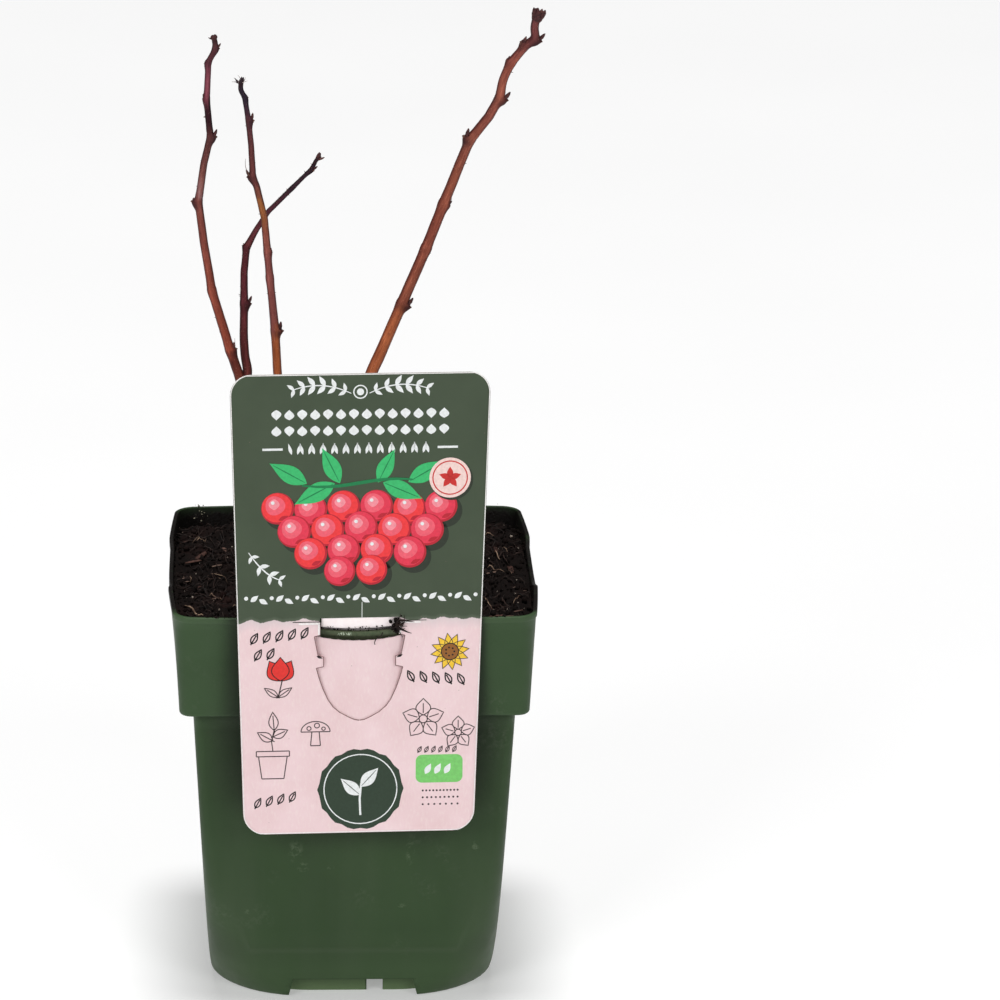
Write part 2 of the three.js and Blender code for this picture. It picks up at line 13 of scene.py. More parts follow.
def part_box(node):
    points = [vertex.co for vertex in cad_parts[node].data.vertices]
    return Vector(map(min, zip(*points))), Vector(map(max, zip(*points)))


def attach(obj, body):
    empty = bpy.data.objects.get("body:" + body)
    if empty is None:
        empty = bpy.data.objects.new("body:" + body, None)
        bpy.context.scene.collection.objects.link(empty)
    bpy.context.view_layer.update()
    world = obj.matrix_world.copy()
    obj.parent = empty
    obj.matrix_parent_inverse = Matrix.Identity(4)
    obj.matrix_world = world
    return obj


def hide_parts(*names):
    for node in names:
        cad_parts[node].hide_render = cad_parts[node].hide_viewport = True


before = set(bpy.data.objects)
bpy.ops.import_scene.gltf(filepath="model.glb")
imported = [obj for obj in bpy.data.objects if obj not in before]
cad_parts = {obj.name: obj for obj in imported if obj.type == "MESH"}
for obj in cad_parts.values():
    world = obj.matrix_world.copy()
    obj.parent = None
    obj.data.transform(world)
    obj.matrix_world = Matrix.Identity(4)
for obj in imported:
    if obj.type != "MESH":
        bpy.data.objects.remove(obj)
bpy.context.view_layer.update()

print("nodes:", sorted(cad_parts))

# %% [markdown]
# ## Where things are
# The pot is the natural ruler of this object, so shapes are worked out in millimetres from the
# point on the ground under the pot's axis, and one function at the end turns them into metres in
# the frame. The axis is read from the pot's own box, so it can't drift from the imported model.

# %% Millimetres round the pot's axis
MILLIMETRE = 0.001
pot_low, pot_high = (np.array(corner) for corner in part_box("pot"))
POT_AXIS = np.array([*(pot_low + pot_high)[:2] / 2, 0.0])
print("pot axis (mm):", (POT_AXIS / MILLIMETRE).round(2))


def placed(points):
    """Points in millimetres round the pot's axis, as metres in the frame."""
    return np.asarray(points, float) * MILLIMETRE + POT_AXIS


def shown(name, data):
    """An object that holds this data, linked to the scene."""
    made = bpy.data.objects.new(name, data)
    bpy.context.scene.collection.objects.link(made)
    return made


# %% [markdown]
# ## The camera
# The view is through a long lens that looks down over the rim from more than two metres away, so
# the soil shows, and the sides of the pot hardly converge.
# A camera is placed by a matrix: its columns are the directions right, up and backwards.

# %% Camera
CAMERA_AT = (-54.5, -2290.0, 925.8)
CAMERA_RIGHT = (0.998856, -0.046290, 0.012033)
CAMERA_FORWARD = (0.047756, 0.951417, -0.304180)
CAMERA_LENS = 212.4

right = np.array(CAMERA_RIGHT)
backward = -np.array(CAMERA_FORWARD)
axes = np.column_stack([right, np.cross(backward, right), backward])

camera = shown("camera", bpy.data.cameras.new("camera"))
camera.data.lens = CAMERA_LENS
camera.data.clip_end = 30.0
camera.matrix_world = Matrix.Translation(placed(CAMERA_AT)) @ Matrix(axes.tolist()).to_4x4()
bpy.context.scene.camera = camera
print("camera stands", round(float(np.linalg.norm(placed(CAMERA_AT))), 2), "m away")

# %% [markdown]
# ## From numbers to a mesh
# Every new shape here is a grid of points: a function of two parameters. The faces of a grid are
# always the same quads, so one helper makes them. Poles, where a whole row of points falls
# together, are welded afterwards, which turns their quads into triangles and closes the shape.

# %% Grids, joined shapes and welded meshes
WELD_DISTANCE = 2e-6


def grid_faces(rows, columns, closed=True):
    """Quads between neighbouring rows and columns; a closed grid joins its last column to its first."""
    row, column = np.mgrid[0 : rows - 1, 0 : columns if closed else columns - 1]
    beside = (column + 1) % columns
    corners = (row, column), (row, beside), (row + 1, beside), (row + 1, column)
    return np.stack([r * columns + c for r, c in corners], axis=-1).reshape(-1, 4)


def surface(points, closed=True):
    """A grid of points, rows by columns by 3, as a shape: (points, faces)."""
    points = np.asarray(points, float)
    return points.reshape(-1, 3), grid_faces(points.shape[0], points.shape[1], closed)


def joined(shapes):
    """Several shapes as one: each shape's faces are renumbered past the points before them."""
    shapes = list(shapes)
    starts = np.cumsum([0] + [len(points) for points, _ in shapes[:-1]])
    points = np.concatenate([points for points, _ in shapes])
    faces = np.concatenate([faces + start for (_, faces), start in zip(shapes, starts)])
    return points, faces


def grids(lists_of_points):
    """Several closed grids as one shape."""
    return joined(surface(points) for points in lists_of_points)


def mesh_of(name, shape):
    """A mesh in metres from a shape in millimetres."""
    points, faces = shape
    mesh = bpy.data.meshes.new(name)
    mesh.from_pydata(placed(points).tolist(), [], faces.tolist())
    return mesh


def weld(mesh):
    """Merges points that all but touch, and turns every face outwards."""
    work = bmesh.new()
    work.from_mesh(mesh)
    bmesh.ops.remove_doubles(work, verts=work.verts, dist=WELD_DISTANCE)
    bmesh.ops.recalc_face_normals(work, faces=work.faces)
    work.to_mesh(mesh)
    work.free()


def piece(name, shape, material, replaces=(), smooth=True, values=None):
    """A shape in millimetres as a finished object that rides on the one body.

    Values are named arrays, three numbers for each point, which the finish reads by name.
    """
    mesh = mesh_of(name, shape)
    for value, numbers in (values or {}).items():
        layer = mesh.attributes.new(value, "FLOAT_VECTOR", "POINT")
        layer.data.foreach_set("vector", np.ascontiguousarray(numbers, np.float32).ravel())
    weld(mesh)
    mesh.polygons.foreach_set("use_smooth", np.full(len(mesh.polygons), smooth))
    mesh.materials.append(material)
    made = shown(name, mesh)
    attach(made, "root")
    if replaces:
        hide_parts(*replaces)
    print(f"{name}: {len(mesh.polygons)} faces")
    return made


def smooth_step(value, low, high):
    """0 below low, 1 above high, and an s-shaped rise between them."""
    share = np.clip((value - low) / (high - low), 0, 1)
    return share * share * (3 - 2 * share)


def compass(degrees):
    """A direction's two parts: the cosine and the sine of its angle."""
    return np.cos(np.radians(degrees)), np.sin(np.radians(degrees))


# %% [markdown]
# ## Random numbers that never change
# Crumbs, prickles and fibres are scattered by chance, but a model must come out the same each time.
# A seeded generator gives that. Soft random hills come from value noise: random heights on a
# coarse lattice, blended smoothly between the lattice points.

# %% Value noise
LATTICE = 64


def value_noise(x, y, size, seed):
    """Smooth hills between -1 and 1: lattice heights blended by an s-curve along each direction."""
    heights = np.random.default_rng(seed).uniform(-1, 1, (LATTICE, LATTICE))
    u, v = x / size, y / size
    column, row = np.floor(u).astype(int), np.floor(v).astype(int)
    across, along = smooth_step(u - column, 0, 1), smooth_step(v - row, 0, 1)
    here, beside = column % LATTICE, (column + 1) % LATTICE
    near, far = (
        heights[line, here] * (1 - across) + heights[line, beside] * across
        for line in (row % LATTICE, (row + 1) % LATTICE)
    )
    return near * (1 - along) + far * along


def rough_noise(x, y, size, layers, seed):
    """Value noise over and over, each layer half as wide and 0.55 times as high as the last."""
    return sum(
        0.55**layer * value_noise(x, y, size / 2**layer, seed + layer) for layer in range(layers)
    )


# %% [markdown]
# ## Finishes
# A finish is a small network of nodes. Writing one by hand in Python is wordy, so this helper
# keeps the nodes of one material together, and gives each common node a short method. Numbers
# that are the same all over the surface are set on the shader's own sockets.

# %% A helper for node materials
class Finish:
    """One node material; its methods add a node and return the socket that comes out of it."""

    def __init__(self, name, **sockets):
        self.material = bpy.data.materials.new(name)
        self.material.use_nodes = True
        self.tree = self.material.node_tree
        self.shader = self.tree.nodes["Principled BSDF"]
        for socket, value in sockets.items():
            self.shader.inputs[socket.replace("_", " ")].default_value = value
        self.place = self.add("ShaderNodeTexCoord").outputs["Object"]

    def add(self, kind, inputs=(), **settings):
        """A node with its settings, and each input either linked to a socket or set to a value."""
        node = self.tree.nodes.new(kind)
        for name, value in settings.items():
            setattr(node, name, value)
        for name, value in dict(inputs).items():
            if isinstance(value, bpy.types.NodeSocket):
                self.tree.links.new(value, node.inputs[name])
            else:
                node.inputs[name].default_value = value
        return node

    def value(self, name):
        """A named value that a piece keeps at its points."""
        return self.add("ShaderNodeAttribute", attribute_name=name).outputs["Vector"]

    def stretched(self, vector, scale):
        """The vector times a scale along each axis."""
        return self.add("ShaderNodeMapping", {"Vector": vector, "Scale": scale}).outputs["Vector"]

    def noise(self, scale, detail=3, roughness=0.55, vector=None):
        """Clouds from 0 to 1: a larger scale makes them smaller, and detail breaks their edges."""
        inputs = {"Vector": vector or self.place, "Scale": scale, "Detail": detail, "Roughness": roughness}
        return self.add("ShaderNodeTexNoise", inputs).outputs["Fac"]

    def cells(self, scale, vector=None):
        """The distance to the nearest of many scattered points, which gives small round spots."""
        inputs = {"Vector": vector or self.place, "Scale": scale}
        return self.add("ShaderNodeTexVoronoi", inputs).outputs["Distance"]

    def ramp(self, factor, *stops):
        """A colour ramp through stops of (position, colour)."""
        node = self.add("ShaderNodeValToRGB", {"Fac": factor})
        elements = node.color_ramp.elements
        while len(elements) < len(stops):
            elements.new(0.5)
        for element, (position, colour) in zip(elements, stops):
            element.position = position
            element.color = (*colour, 1.0)
        return node.outputs["Color"]

    def levels(self, factor, low, high, to_low=0.0, to_high=1.0):
        """A number moved from one range to another and held inside it."""
        inputs = {"Value": factor, "From Min": low, "From Max": high, "To Min": to_low, "To Max": to_high}
        return self.add("ShaderNodeMapRange", inputs).outputs["Result"]

    def mixed(self, factor, first, second, blend="MIX"):
        """The first colour turning into the second as the factor goes from 0 to 1."""
        both = (one if isinstance(one, bpy.types.NodeSocket) else (*one, 1.0) for one in (first, second))
        inputs = dict(zip((0, 6, 7), (factor, *both)))
        return self.add("ShaderNodeMix", inputs, data_type="RGBA", blend_type=blend).outputs[2]

    def tinted(self, colour, tint):
        """A colour multiplied by a tint, channel by channel."""
        return self.mixed(1.0, colour, tint, blend="MULTIPLY")

    def maths(self, operation, first, second=0.0):
        """One sum on two numbers, such as SUBTRACT or MAXIMUM."""
        return self.add("ShaderNodeMath", {0: first, 1: second}, operation=operation).outputs[0]

    def times(self, first, second):
        """Two numbers multiplied."""
        return self.maths("MULTIPLY", first, second)

    def axis(self, vector, name):
        """One number out of a vector: X, Y or Z."""
        return self.add("ShaderNodeSeparateXYZ", {"Vector": vector}).outputs[name]

    def set(self, **sockets):
        """Links sockets of the shader, such as Base_Color and Roughness."""
        for name, socket in sockets.items():
            self.tree.links.new(socket, self.shader.inputs[name.replace("_", " ")])
        return self

    def bump(self, height, millimetres, strength=1.0):
        """Relief from a 0 to 1 height, that many millimetres deep."""
        inputs = {"Height": height, "Distance": millimetres * MILLIMETRE, "Strength": strength}
        node = self.add("ShaderNodeBump", inputs)
        if self.shader.inputs["Normal"].links:
            self.tree.links.new(self.shader.inputs["Normal"].links[0].from_socket, node.inputs["Normal"])
        self.tree.links.new(node.outputs["Normal"], self.shader.inputs["Normal"])
        return self


def srgb(red, green, blue):
    """A colour as a screen shows it, 0 to 255, as the linear light that shaders use."""
    share = np.array([red, green, blue]) / 255
    return tuple(np.where(share <= 0.04045, share / 12.92, ((share + 0.055) / 1.055) ** 2.4))


def two_tones(name, grain, spread, low, high, patches=None, relief=None, **sockets):
    """A plain finish: from a low tone to a high one by a noise, with a third tone in patches.

    The grain is the numbers of a noise, and the spread its levels. The patches are a tone, a
    noise and its levels, and the relief a noise, its depth in millimetres and its strength.
    """
    finish = Finish(name, **sockets)
    colour = finish.mixed(finish.levels(finish.noise(*grain), *spread), low, high)
    if patches:
        tone, clouds, share = patches
        colour = finish.mixed(finish.levels(finish.noise(*clouds), *share), colour, tone)
    finish.set(Base_Color=colour)
    if relief:
        height, *depth = relief
        finish.bump(finish.noise(*height), *depth)
    return finish.material


# %% [markdown]
# ## The pot
# A nursery pot is thin moulded plastic: a square body that turns round at its foot, under a deep
# collar whose rim dips in the middle of each side. It could be modelled by hand with a bevelled
# cube, but its corners change radius all the way down. So its wall is a profile carried round a
# rounded square, ring by ring, with the corner radius as a function of height.

# %% Rings of a rounded square
FLAT_PARTS = 36
CORNER_PARTS = 12


def ring(half, corner, bow, parts=(FLAT_PARTS, CORNER_PARTS)):
    """Points round a rounded square, and how far each stands along its side.

    Along a side the outline is half minus bow times t squared, with t from -1 to 1 along the
    straight part. Then an arc of the corner's radius turns it by 90 degrees. Three more turns
    by 90 degrees make the other sides.
    """
    t = np.linspace(-1, 1, parts[0], endpoint=False)
    angle = np.linspace(0, np.pi / 2, parts[1], endpoint=False)
    straight = half - bow - corner
    out = np.concatenate([half - bow * t**2, straight + corner * np.cos(angle)])
    along = np.concatenate([t * straight, straight + corner * np.sin(angle)])
    turns = [(out, along), (-along, out), (-out, -along), (along, -out)]
    x, y = (np.concatenate([turn[axis] for turn in turns]) for axis in (0, 1))
    return x, y, np.tile(along, 4)


# %% The pot's own sizes
POT_HEIGHT = 168.0
WALL = 1.3
RIM_HALF = 75.2
SIDE_BOW = 2.5
COLLAR_UNDERSIDE = 125.2
COLLAR_FOOT_HALF = 70.1
COLLAR_FOOT_CORNER = 5.0
RIM_CORNER = 9.0
LIP_DEPTH = 2.2
LIP_OUT = 0.4
DIP_DEPTH = 4.9
DIP_HALF = 33.0
NECK = 0.7
NECK_HALF = 30.0
NECK_END = 4.0
DIP_START = 146.0
SIDE_FLAT_HALF = 66.0
BODY_TOP_HALF = 64.7
BODY_FOOT_HALF = 58.0
BODY_TOP_CORNER = 3.5
BODY_FOOT_CORNER = 39.5
CORNER_FADE = 23.0
FLOOR_UNDERSIDE = 8.0


def body_ring(z, inset=0.0):
    """The body at a height: a straight taper, and a corner radius that fades as e to the -z/fade."""
    half = BODY_FOOT_HALF + (BODY_TOP_HALF - BODY_FOOT_HALF) * z / COLLAR_UNDERSIDE
    corner = BODY_TOP_CORNER + (BODY_FOOT_CORNER - BODY_TOP_CORNER) * np.exp(-z / CORNER_FADE)
    return dict(half=half - inset, corner=corner - inset, bow=0.0, z=z, dip=0.0)


def side_bow(along):
    """How far a side of the rim falls back from its middle towards its corners."""
    return SIDE_BOW * (along / SIDE_FLAT_HALF) ** 2


def collar_ring(z, inset=0.0, dip=0.0):
    """The collar at a height: straight sides at its foot, bowed and rounder towards the rim."""
    share = (z - COLLAR_UNDERSIDE) / (POT_HEIGHT - LIP_DEPTH - COLLAR_UNDERSIDE)
    half = COLLAR_FOOT_HALF + (RIM_HALF - LIP_OUT - COLLAR_FOOT_HALF) * share
    corner = COLLAR_FOOT_CORNER + (RIM_CORNER - COLLAR_FOOT_CORNER) * share
    return dict(half=half - inset, corner=corner - inset, bow=SIDE_BOW * share, z=z, dip=dip)


def rim_ring(inset, z):
    """The lip at a height, which follows the whole dip."""
    return dict(half=RIM_HALF - inset, corner=RIM_CORNER - inset, bow=SIDE_BOW, z=z, dip=1.0)


def rim_dip(along):
    """How far the rim drops along a side: the depth times 1 - (along / dip half) squared."""
    return DIP_DEPTH * np.maximum(0, 1 - (along / DIP_HALF) ** 2)


def rim_neck(along):
    """How far a free rim is drawn in where it dips: a flat stretch with a soft step at each end."""
    return NECK * smooth_step(NECK_HALF - np.abs(along), 0, NECK_END)


def ring_points(half, corner, bow, z, dip, parts=(FLAT_PARTS, CORNER_PARTS)):
    """One ring as points, lowered and drawn in by its share of the dip, save for the front side.

    The label's hook holds the front side out, so only the other three are drawn in.
    """
    x, y, along = ring(half, corner, bow, parts)
    drawn_in = 1 - dip * rim_neck(along) * (y > -np.abs(x)) / np.hypot(x, y)
    return np.stack([x * drawn_in, y * drawn_in, z - dip * rim_dip(along)], axis=-1)


def centre_point(z):
    """A ring shrunk to the axis, which welds to one point."""
    return np.tile([0.0, 0.0, z], (4 * (FLAT_PARTS + CORNER_PARTS), 1))


def arc_steps(start, end, parts):
    """Angles in degrees from start to end, for rounding an edge."""
    return np.radians(np.linspace(start, end, parts))


# %% Pot shell
COLLAR_FILLET = 1.4
RIM_ROUND = 0.45
SHELF_TOP = COLLAR_UNDERSIDE + WALL


def inner_dip(z):
    """How much of the dip the inside of the wall follows: none at its start, all at the rim."""
    return (z - DIP_START) / (POT_HEIGHT - DIP_START)


def pot_profile():
    """The rings of the pot's section, from the middle of its floor out, up, over the rim and in."""
    foot = [centre_point(FLOOR_UNDERSIDE)]
    foot += [ring_points(**body_ring(z, WALL)) for z in (FLOOR_UNDERSIDE, 4.0, 0.3)]
    foot += [ring_points(**body_ring(0.0, inset)) for inset in (WALL - 0.3, 0.3)]
    body = [ring_points(**body_ring(z)) for z in (0.3, 2.0, 4.0, 6.0, *np.linspace(8, 46, 14))]
    body += [ring_points(**body_ring(z)) for z in np.linspace(52, COLLAR_UNDERSIDE, 10)]
    fillet = [
        collar_ring(
            COLLAR_UNDERSIDE + COLLAR_FILLET * (1 - np.cos(angle)),
            COLLAR_FILLET * (1 - np.sin(angle)),
        )
        for angle in arc_steps(0, 90, 7)
    ]
    lip_foot = POT_HEIGHT - LIP_DEPTH
    collar = [collar_ring(z) for z in np.linspace(130, DIP_START, 4)]
    collar += [
        collar_ring(z, dip=(z - DIP_START) / (lip_foot - DIP_START)) for z in np.linspace(150, 165.4, 5)
    ]
    lip = [rim_ring(0.12, lip_foot), rim_ring(0, lip_foot + 0.3)]
    centre = (RIM_ROUND, POT_HEIGHT - RIM_ROUND)
    rounded = [
        rim_ring(centre[0] - RIM_ROUND * np.cos(angle), centre[1] + RIM_ROUND * np.sin(angle))
        for angle in arc_steps(0, 90, 5)
    ]
    inner_edge = WALL + LIP_OUT
    rounded += [
        rim_ring(inner_edge - 0.3 + 0.3 * np.sin(angle), POT_HEIGHT - 0.3 + 0.3 * np.cos(angle))
        for angle in arc_steps(0, 90, 4)
    ]
    inside = [collar_ring(z, WALL, dip=inner_dip(z)) for z in np.linspace(164, DIP_START, 5)]
    inside += [collar_ring(SHELF_TOP, WALL), body_ring(SHELF_TOP, WALL)]
    inside += [body_ring(z, WALL) for z in (85, 60, 42, 30, 22, 15, FLOOR_UNDERSIDE + WALL)]
    rings = [ring_points(**one) for one in fillet + collar + lip + rounded + inside]
    return np.array(foot + body + rings + [centre_point(FLOOR_UNDERSIDE + WALL)])


pot_rings = pot_profile()
pot_shell = surface(pot_rings)
print("pot shell:", len(pot_shell[1]), "quads,", 2 * RIM_HALF, "mm across the rim")

# %% [markdown]
# ## Foot, notches and drain slots
# Under the floor stands a square rib, broken by small gaps. Each side of the foot has a notch to
# let water out, and the floor has slots. Holes with sharp edges are the one job where cutting is
# simpler than a formula, so blocks are taken away with a Boolean modifier, and it is applied.

# %% Foot rib and cutters
RIB_HALF = 51.5
RIB_CORNER = 34.0
RIB_GAP_WIDTH = 6.6
RIB_GAP_OFFSET = 9.0
NOTCH_TOP_HALF = 24.4
NOTCH_FOOT_HALF = 26.2
NOTCH_HEIGHT = 7.4
DRAIN_LENGTH = 13.0
DRAIN_WIDTH = 5.0
DRAIN_RADIUS = 38.0
NOTCH_REACH = (54, 62)
GAP_REACH = (48, 53.2)
CUT_FROM = -1


def loop_surface(rings):
    """Rings carried round and closed on themselves: the last ring is the first again."""
    return surface(np.array(rings + rings[:1]))


def rib_shape():
    """The rib's section is a small rectangle, carried round a rounded square."""
    corners = ((0, 0.0), (0, FLOOR_UNDERSIDE + 0.6), (WALL, FLOOR_UNDERSIDE + 0.6), (WALL, 0.0))
    rings = [
        ring_points(half=RIB_HALF - inset, corner=RIB_CORNER - inset, bow=0.0, z=z, dip=0.0)
        for inset, z in corners
    ]
    return loop_surface(rings)


def turned(shape, quarter):
    """A shape turned about the pot's axis by a number of quarter turns."""
    points, faces = shape
    cosine, sine = [(1, 0), (0, 1), (-1, 0), (0, -1)][quarter % 4]
    x, y, z = points.T
    return np.stack([cosine * x - sine * y, sine * x + cosine * y, z], axis=-1), faces


def prism(low, high, widths, bottom, top):
    """A block from y low to y high whose half width goes from widths[0] up to widths[1]."""
    rows = [
        [(-half, low, z), (half, low, z), (half, high, z), (-half, high, z)]
        for half, z in ((0, bottom), (widths[0], bottom), (widths[1], top), (0, top))
    ]
    rows[0] = [(0, (low + high) / 2, bottom)] * 4
    rows[3] = [(0, (low + high) / 2, top)] * 4
    return surface(np.array(rows, float))


def moved(shape, offset):
    """A shape shifted by an offset."""
    points, faces = shape
    return points + np.asarray(offset, float), faces


def foot_cutters():
    """For each side: its notch, the gap in the rib, and two drain slots."""
    slope = (NOTCH_FOOT_HALF - NOTCH_TOP_HALF) / NOTCH_HEIGHT
    notch = prism(*NOTCH_REACH, (NOTCH_FOOT_HALF + slope, NOTCH_TOP_HALF), CUT_FROM, NOTCH_HEIGHT)
    gap = prism(*GAP_REACH, (RIB_GAP_WIDTH / 2,) * 2, CUT_FROM, FLOOR_UNDERSIDE - 0.01)
    gap = moved(gap, (-RIB_GAP_OFFSET, 0, 0))
    near, far = DRAIN_RADIUS - DRAIN_WIDTH / 2, DRAIN_RADIUS + DRAIN_WIDTH / 2
    slot = prism(near, far, (DRAIN_LENGTH / 2,) * 2, FLOOR_UNDERSIDE - 2, FLOOR_UNDERSIDE + 3)
    slots = [moved(slot, (side * DRAIN_RADIUS / 2, 0, 0)) for side in (-1, 1)]
    return [turned(one, quarter) for one in [notch, gap, *slots] for quarter in range(4)]


def cut_away(made, cutters):
    """Takes the cutter shapes out of a finished piece, applies that, and removes the cutter."""
    mesh = mesh_of("cutter", joined(cutters))
    weld(mesh)
    cutter = shown("cutter", mesh)
    modifier = made.modifiers.new("cut", "BOOLEAN")
    modifier.object = cutter
    modifier.operation = "DIFFERENCE"
    modifier.solver = "EXACT"
    modifier.use_self = True
    evaluated = made.evaluated_get(bpy.context.evaluated_depsgraph_get())
    result = bpy.data.meshes.new_from_object(evaluated)
    made.modifiers.clear()
    made.data = result
    bpy.data.objects.remove(cutter)


# %% [markdown]
# ## Green moulded plastic
# Recycled plastic is never one green: it has faint clouds, streaks from the mould and rubbed grey
# places, and it is darkened inside and on the rim. Light and shade are painted into its colour too:
# a sheen on the foot's corners, a highlight on the front rim, shade under the collar and behind the
# label, and light near the ground and on the foot rib. The light catches a satin skin, so the
# roughness varies as well as the colour.

# %% Where the pot is darkened, and where its rim highlight is painted
INNER_RINGS = 15
RIM_EDGE_RINGS = 4
RIM_FACE_RINGS = 5
LIP_RINGS = 2
SIDE_BAND = (60, 70)


def pot_darkening_and_painted_light():
    """For each point: how far the inside and the rim are darkened, and where a highlight is painted on the
    rim's front edge.

    The rings run from the outside over the rim to the inside, so counting them from the end finds
    the rim. On the front side the rim is not darkened, and the highlight is painted there.
    """
    darkening_and_painted_light = np.zeros_like(pot_rings)
    y = pot_rings[..., 1]
    front_side, rear = smooth_step(-y, *SIDE_BAND), smooth_step(y, *SIDE_BAND)
    inner = -INNER_RINGS
    edge = inner - RIM_EDGE_RINGS
    face = edge - RIM_FACE_RINGS
    darkening_and_painted_light[inner:, :, 0] = 1.0
    darkening_and_painted_light[inner : inner + 2, :, 0] = 0.8 + 0.15 * rear[inner : inner + 2]
    darkening_and_painted_light[edge:inner, :, 0] = 0.9 - 0.6 * front_side[edge:inner] - 0.55 * rear[edge:inner]
    rim_darkening = (0.95 - 0.35 * rear) * (1 - front_side)
    darkening_and_painted_light[face:edge, :, 0] = rim_darkening[face:edge]
    darkening_and_painted_light[face - LIP_RINGS : face, :, 0] = 0.75 * rim_darkening[face - LIP_RINGS : face]
    # the highlight painted on the front rim's lip and face
    darkening_and_painted_light[face - LIP_RINGS : edge, :, 1] = front_side[face - LIP_RINGS : edge]
    return darkening_and_painted_light.reshape(-1, 3)


# %% Zones of the pot
MOULD_LINE = 20.3
MOULD_LINE_HALF = 42.0
MOULD_LINE_RISE = 2.27


def moved_and_scaled(finish, location, scale):
    """Object coordinates times a scale, and then shifted by a location."""
    inputs = {"Vector": finish.place, "Location": location, "Scale": scale}
    return finish.add("ShaderNodeMapping", inputs).outputs["Vector"]


def pot_zones(finish):
    """Masks by place on the pot, each from 0 to 1 or less.

    The line is the faint ridge where a flat side meets the rounded foot: level, then up at its
    ends. Foot is the foot's corners, where a sheen is painted; below the wall under the collar,
    where shade is painted; painted_ground_light the last 30 mm above the ground, where light is
    painted; and clear all that stands well above the foot, where painted occlusion shade may fall.
    """
    levels, maths, times = finish.levels, finish.maths, finish.times
    place = moved_and_scaled(finish, tuple(-POT_AXIS / MILLIMETRE), (1 / MILLIMETRE,) * 3)
    x, y, z = (finish.axis(place, name) for name in "XYZ")
    across = maths("MINIMUM", maths("ABSOLUTE", x), maths("ABSOLUTE", y))
    beyond = maths("MAXIMUM", maths("SUBTRACT", across, MOULD_LINE_HALF), 0.0)
    height = maths("MULTIPLY_ADD", beyond, MOULD_LINE_RISE)
    height.node.inputs[2].default_value = MOULD_LINE
    gap = maths("ABSOLUTE", maths("SUBTRACT", z, height))
    gap = times(gap, levels(beyond, 0.0, 0.6, 1.0, 0.4))
    return {
        "line": times(levels(gap, 0.1, 1.7, 1, 0), levels(beyond, 0, 9, 1, 0)),
        "foot": times(levels(across, 38, 49), levels(z, 12, 75, 1, 0)),
        "below": levels(z, 124.0, 125.6, 1, 0),
        "painted_ground_light": levels(z, 0, 30, 0.5, 0),
        "clear": levels(z, 12, 40),
    }


# %% Scuffs, rubs and painted glints
SCUFFS = [
    # on the front side: place across and up, half width and half height
    (-23.5, 64.5, 4, 5.5), (-20.5, 57.5, 3, 2.6), (-9.3, 57, 1.8, 1.6), (19.6, 40.3, 2.2, 1.3),
    (22.7, 64, 2.2, 6.5), (-42, 38, 3, 2), (38, 88, 2.6, 3.6), (49, 66, 2, 3),
]
# the rub of the hook, which also paints light on the shaded rim, in metres of the frame: its depth,
# half width and height, each from one value to another, and the middle of its painted glints
RUB_DEPTH = (-0.0695, -0.0708)
RUB_HALF = (0.0172, 0.0182)
RUB_HEIGHT = (0.1545, 0.1585)
PAINTED_GLINTS_AT = (-0.0044, 0.1621)


def scuff_marks(finish, grain):
    """Rubbed patches: 1 inside an ellipse round each place, broken up by a fine grain."""
    # no mark at first: zero all over
    marks = finish.times(grain, 0.0)
    for across, up, wide, high in SCUFFS:
        scale = np.array([1 / wide, 1 / 30, 1 / high])
        middle = np.array([across, -BODY_TOP_HALF + 2, up]) + POT_AXIS / MILLIMETRE
        inside = moved_and_scaled(finish, tuple(-middle * scale), tuple(scale / MILLIMETRE))
        distance = finish.add("ShaderNodeVectorMath", {"Vector": inside}, operation="LENGTH")
        mark = finish.levels(distance.outputs["Value"], 0.35, 1.0, 1, 0)
        marks = finish.maths("MAXIMUM", marks, mark)
    return finish.times(marks, grain)


def hook_rub_and_painted_light(finish):
    """Where the label's hook has rubbed the front rim pale, with light painted on the shaded rim: a short
    stretch, and a few painted glints.
    """
    levels, maths, times = finish.levels, finish.maths, finish.times
    x, y, z = (finish.axis(finish.place, name) for name in "XYZ")
    front = levels(y, *RUB_DEPTH)
    middle = levels(maths("ABSOLUTE", x), *RUB_HALF, 1, 0)
    grain = levels(finish.noise(700), 0.35, 0.7, 0.6, 1.4)
    rub_and_painted_light = times(levels(z, *RUB_HEIGHT, 0, 0.36), middle)
    beside = maths("ABSOLUTE", maths("ADD", x, -PAINTED_GLINTS_AT[0]))
    above = maths("ABSOLUTE", maths("SUBTRACT", z, PAINTED_GLINTS_AT[1]))
    spot = times(levels(beside, 0.002, 0.003, 0.9, 0), levels(above, 0.0003, 0.0009, 1, 0))
    glint_grain = levels(finish.noise(1300, detail=2), 0.5, 0.56)
    return times(times(rub_and_painted_light, front), grain), times(times(spot, front), glint_grain)


# %% Pot plastic
POT_GREEN = srgb(55, 78, 48)
POT_GREEN_DARK = srgb(49, 71, 42)
SHADED_TINT = (0.77, 0.80, 0.71)
OCCLUSION_SHADE_TINT = (0.36, 0.36, 0.36)
PAINTED_GROUND_LIGHT_GREEN = srgb(76, 98, 66)
SCUFF_AND_SHEEN_GREY = srgb(88, 98, 80)
SCUFF_PALE = srgb(124, 140, 112)
PAINTED_RIM_HIGHLIGHT = srgb(92, 112, 84)
RUB_AND_PAINTED_LIGHT_GREY = srgb(110, 114, 90)
PAINTED_GLINT_WHITE = srgb(196, 210, 186)
PAINTED_RIB_LIGHT = srgb(122, 146, 104)
INSIDE_AND_RIM_DARK = srgb(20, 16, 14)


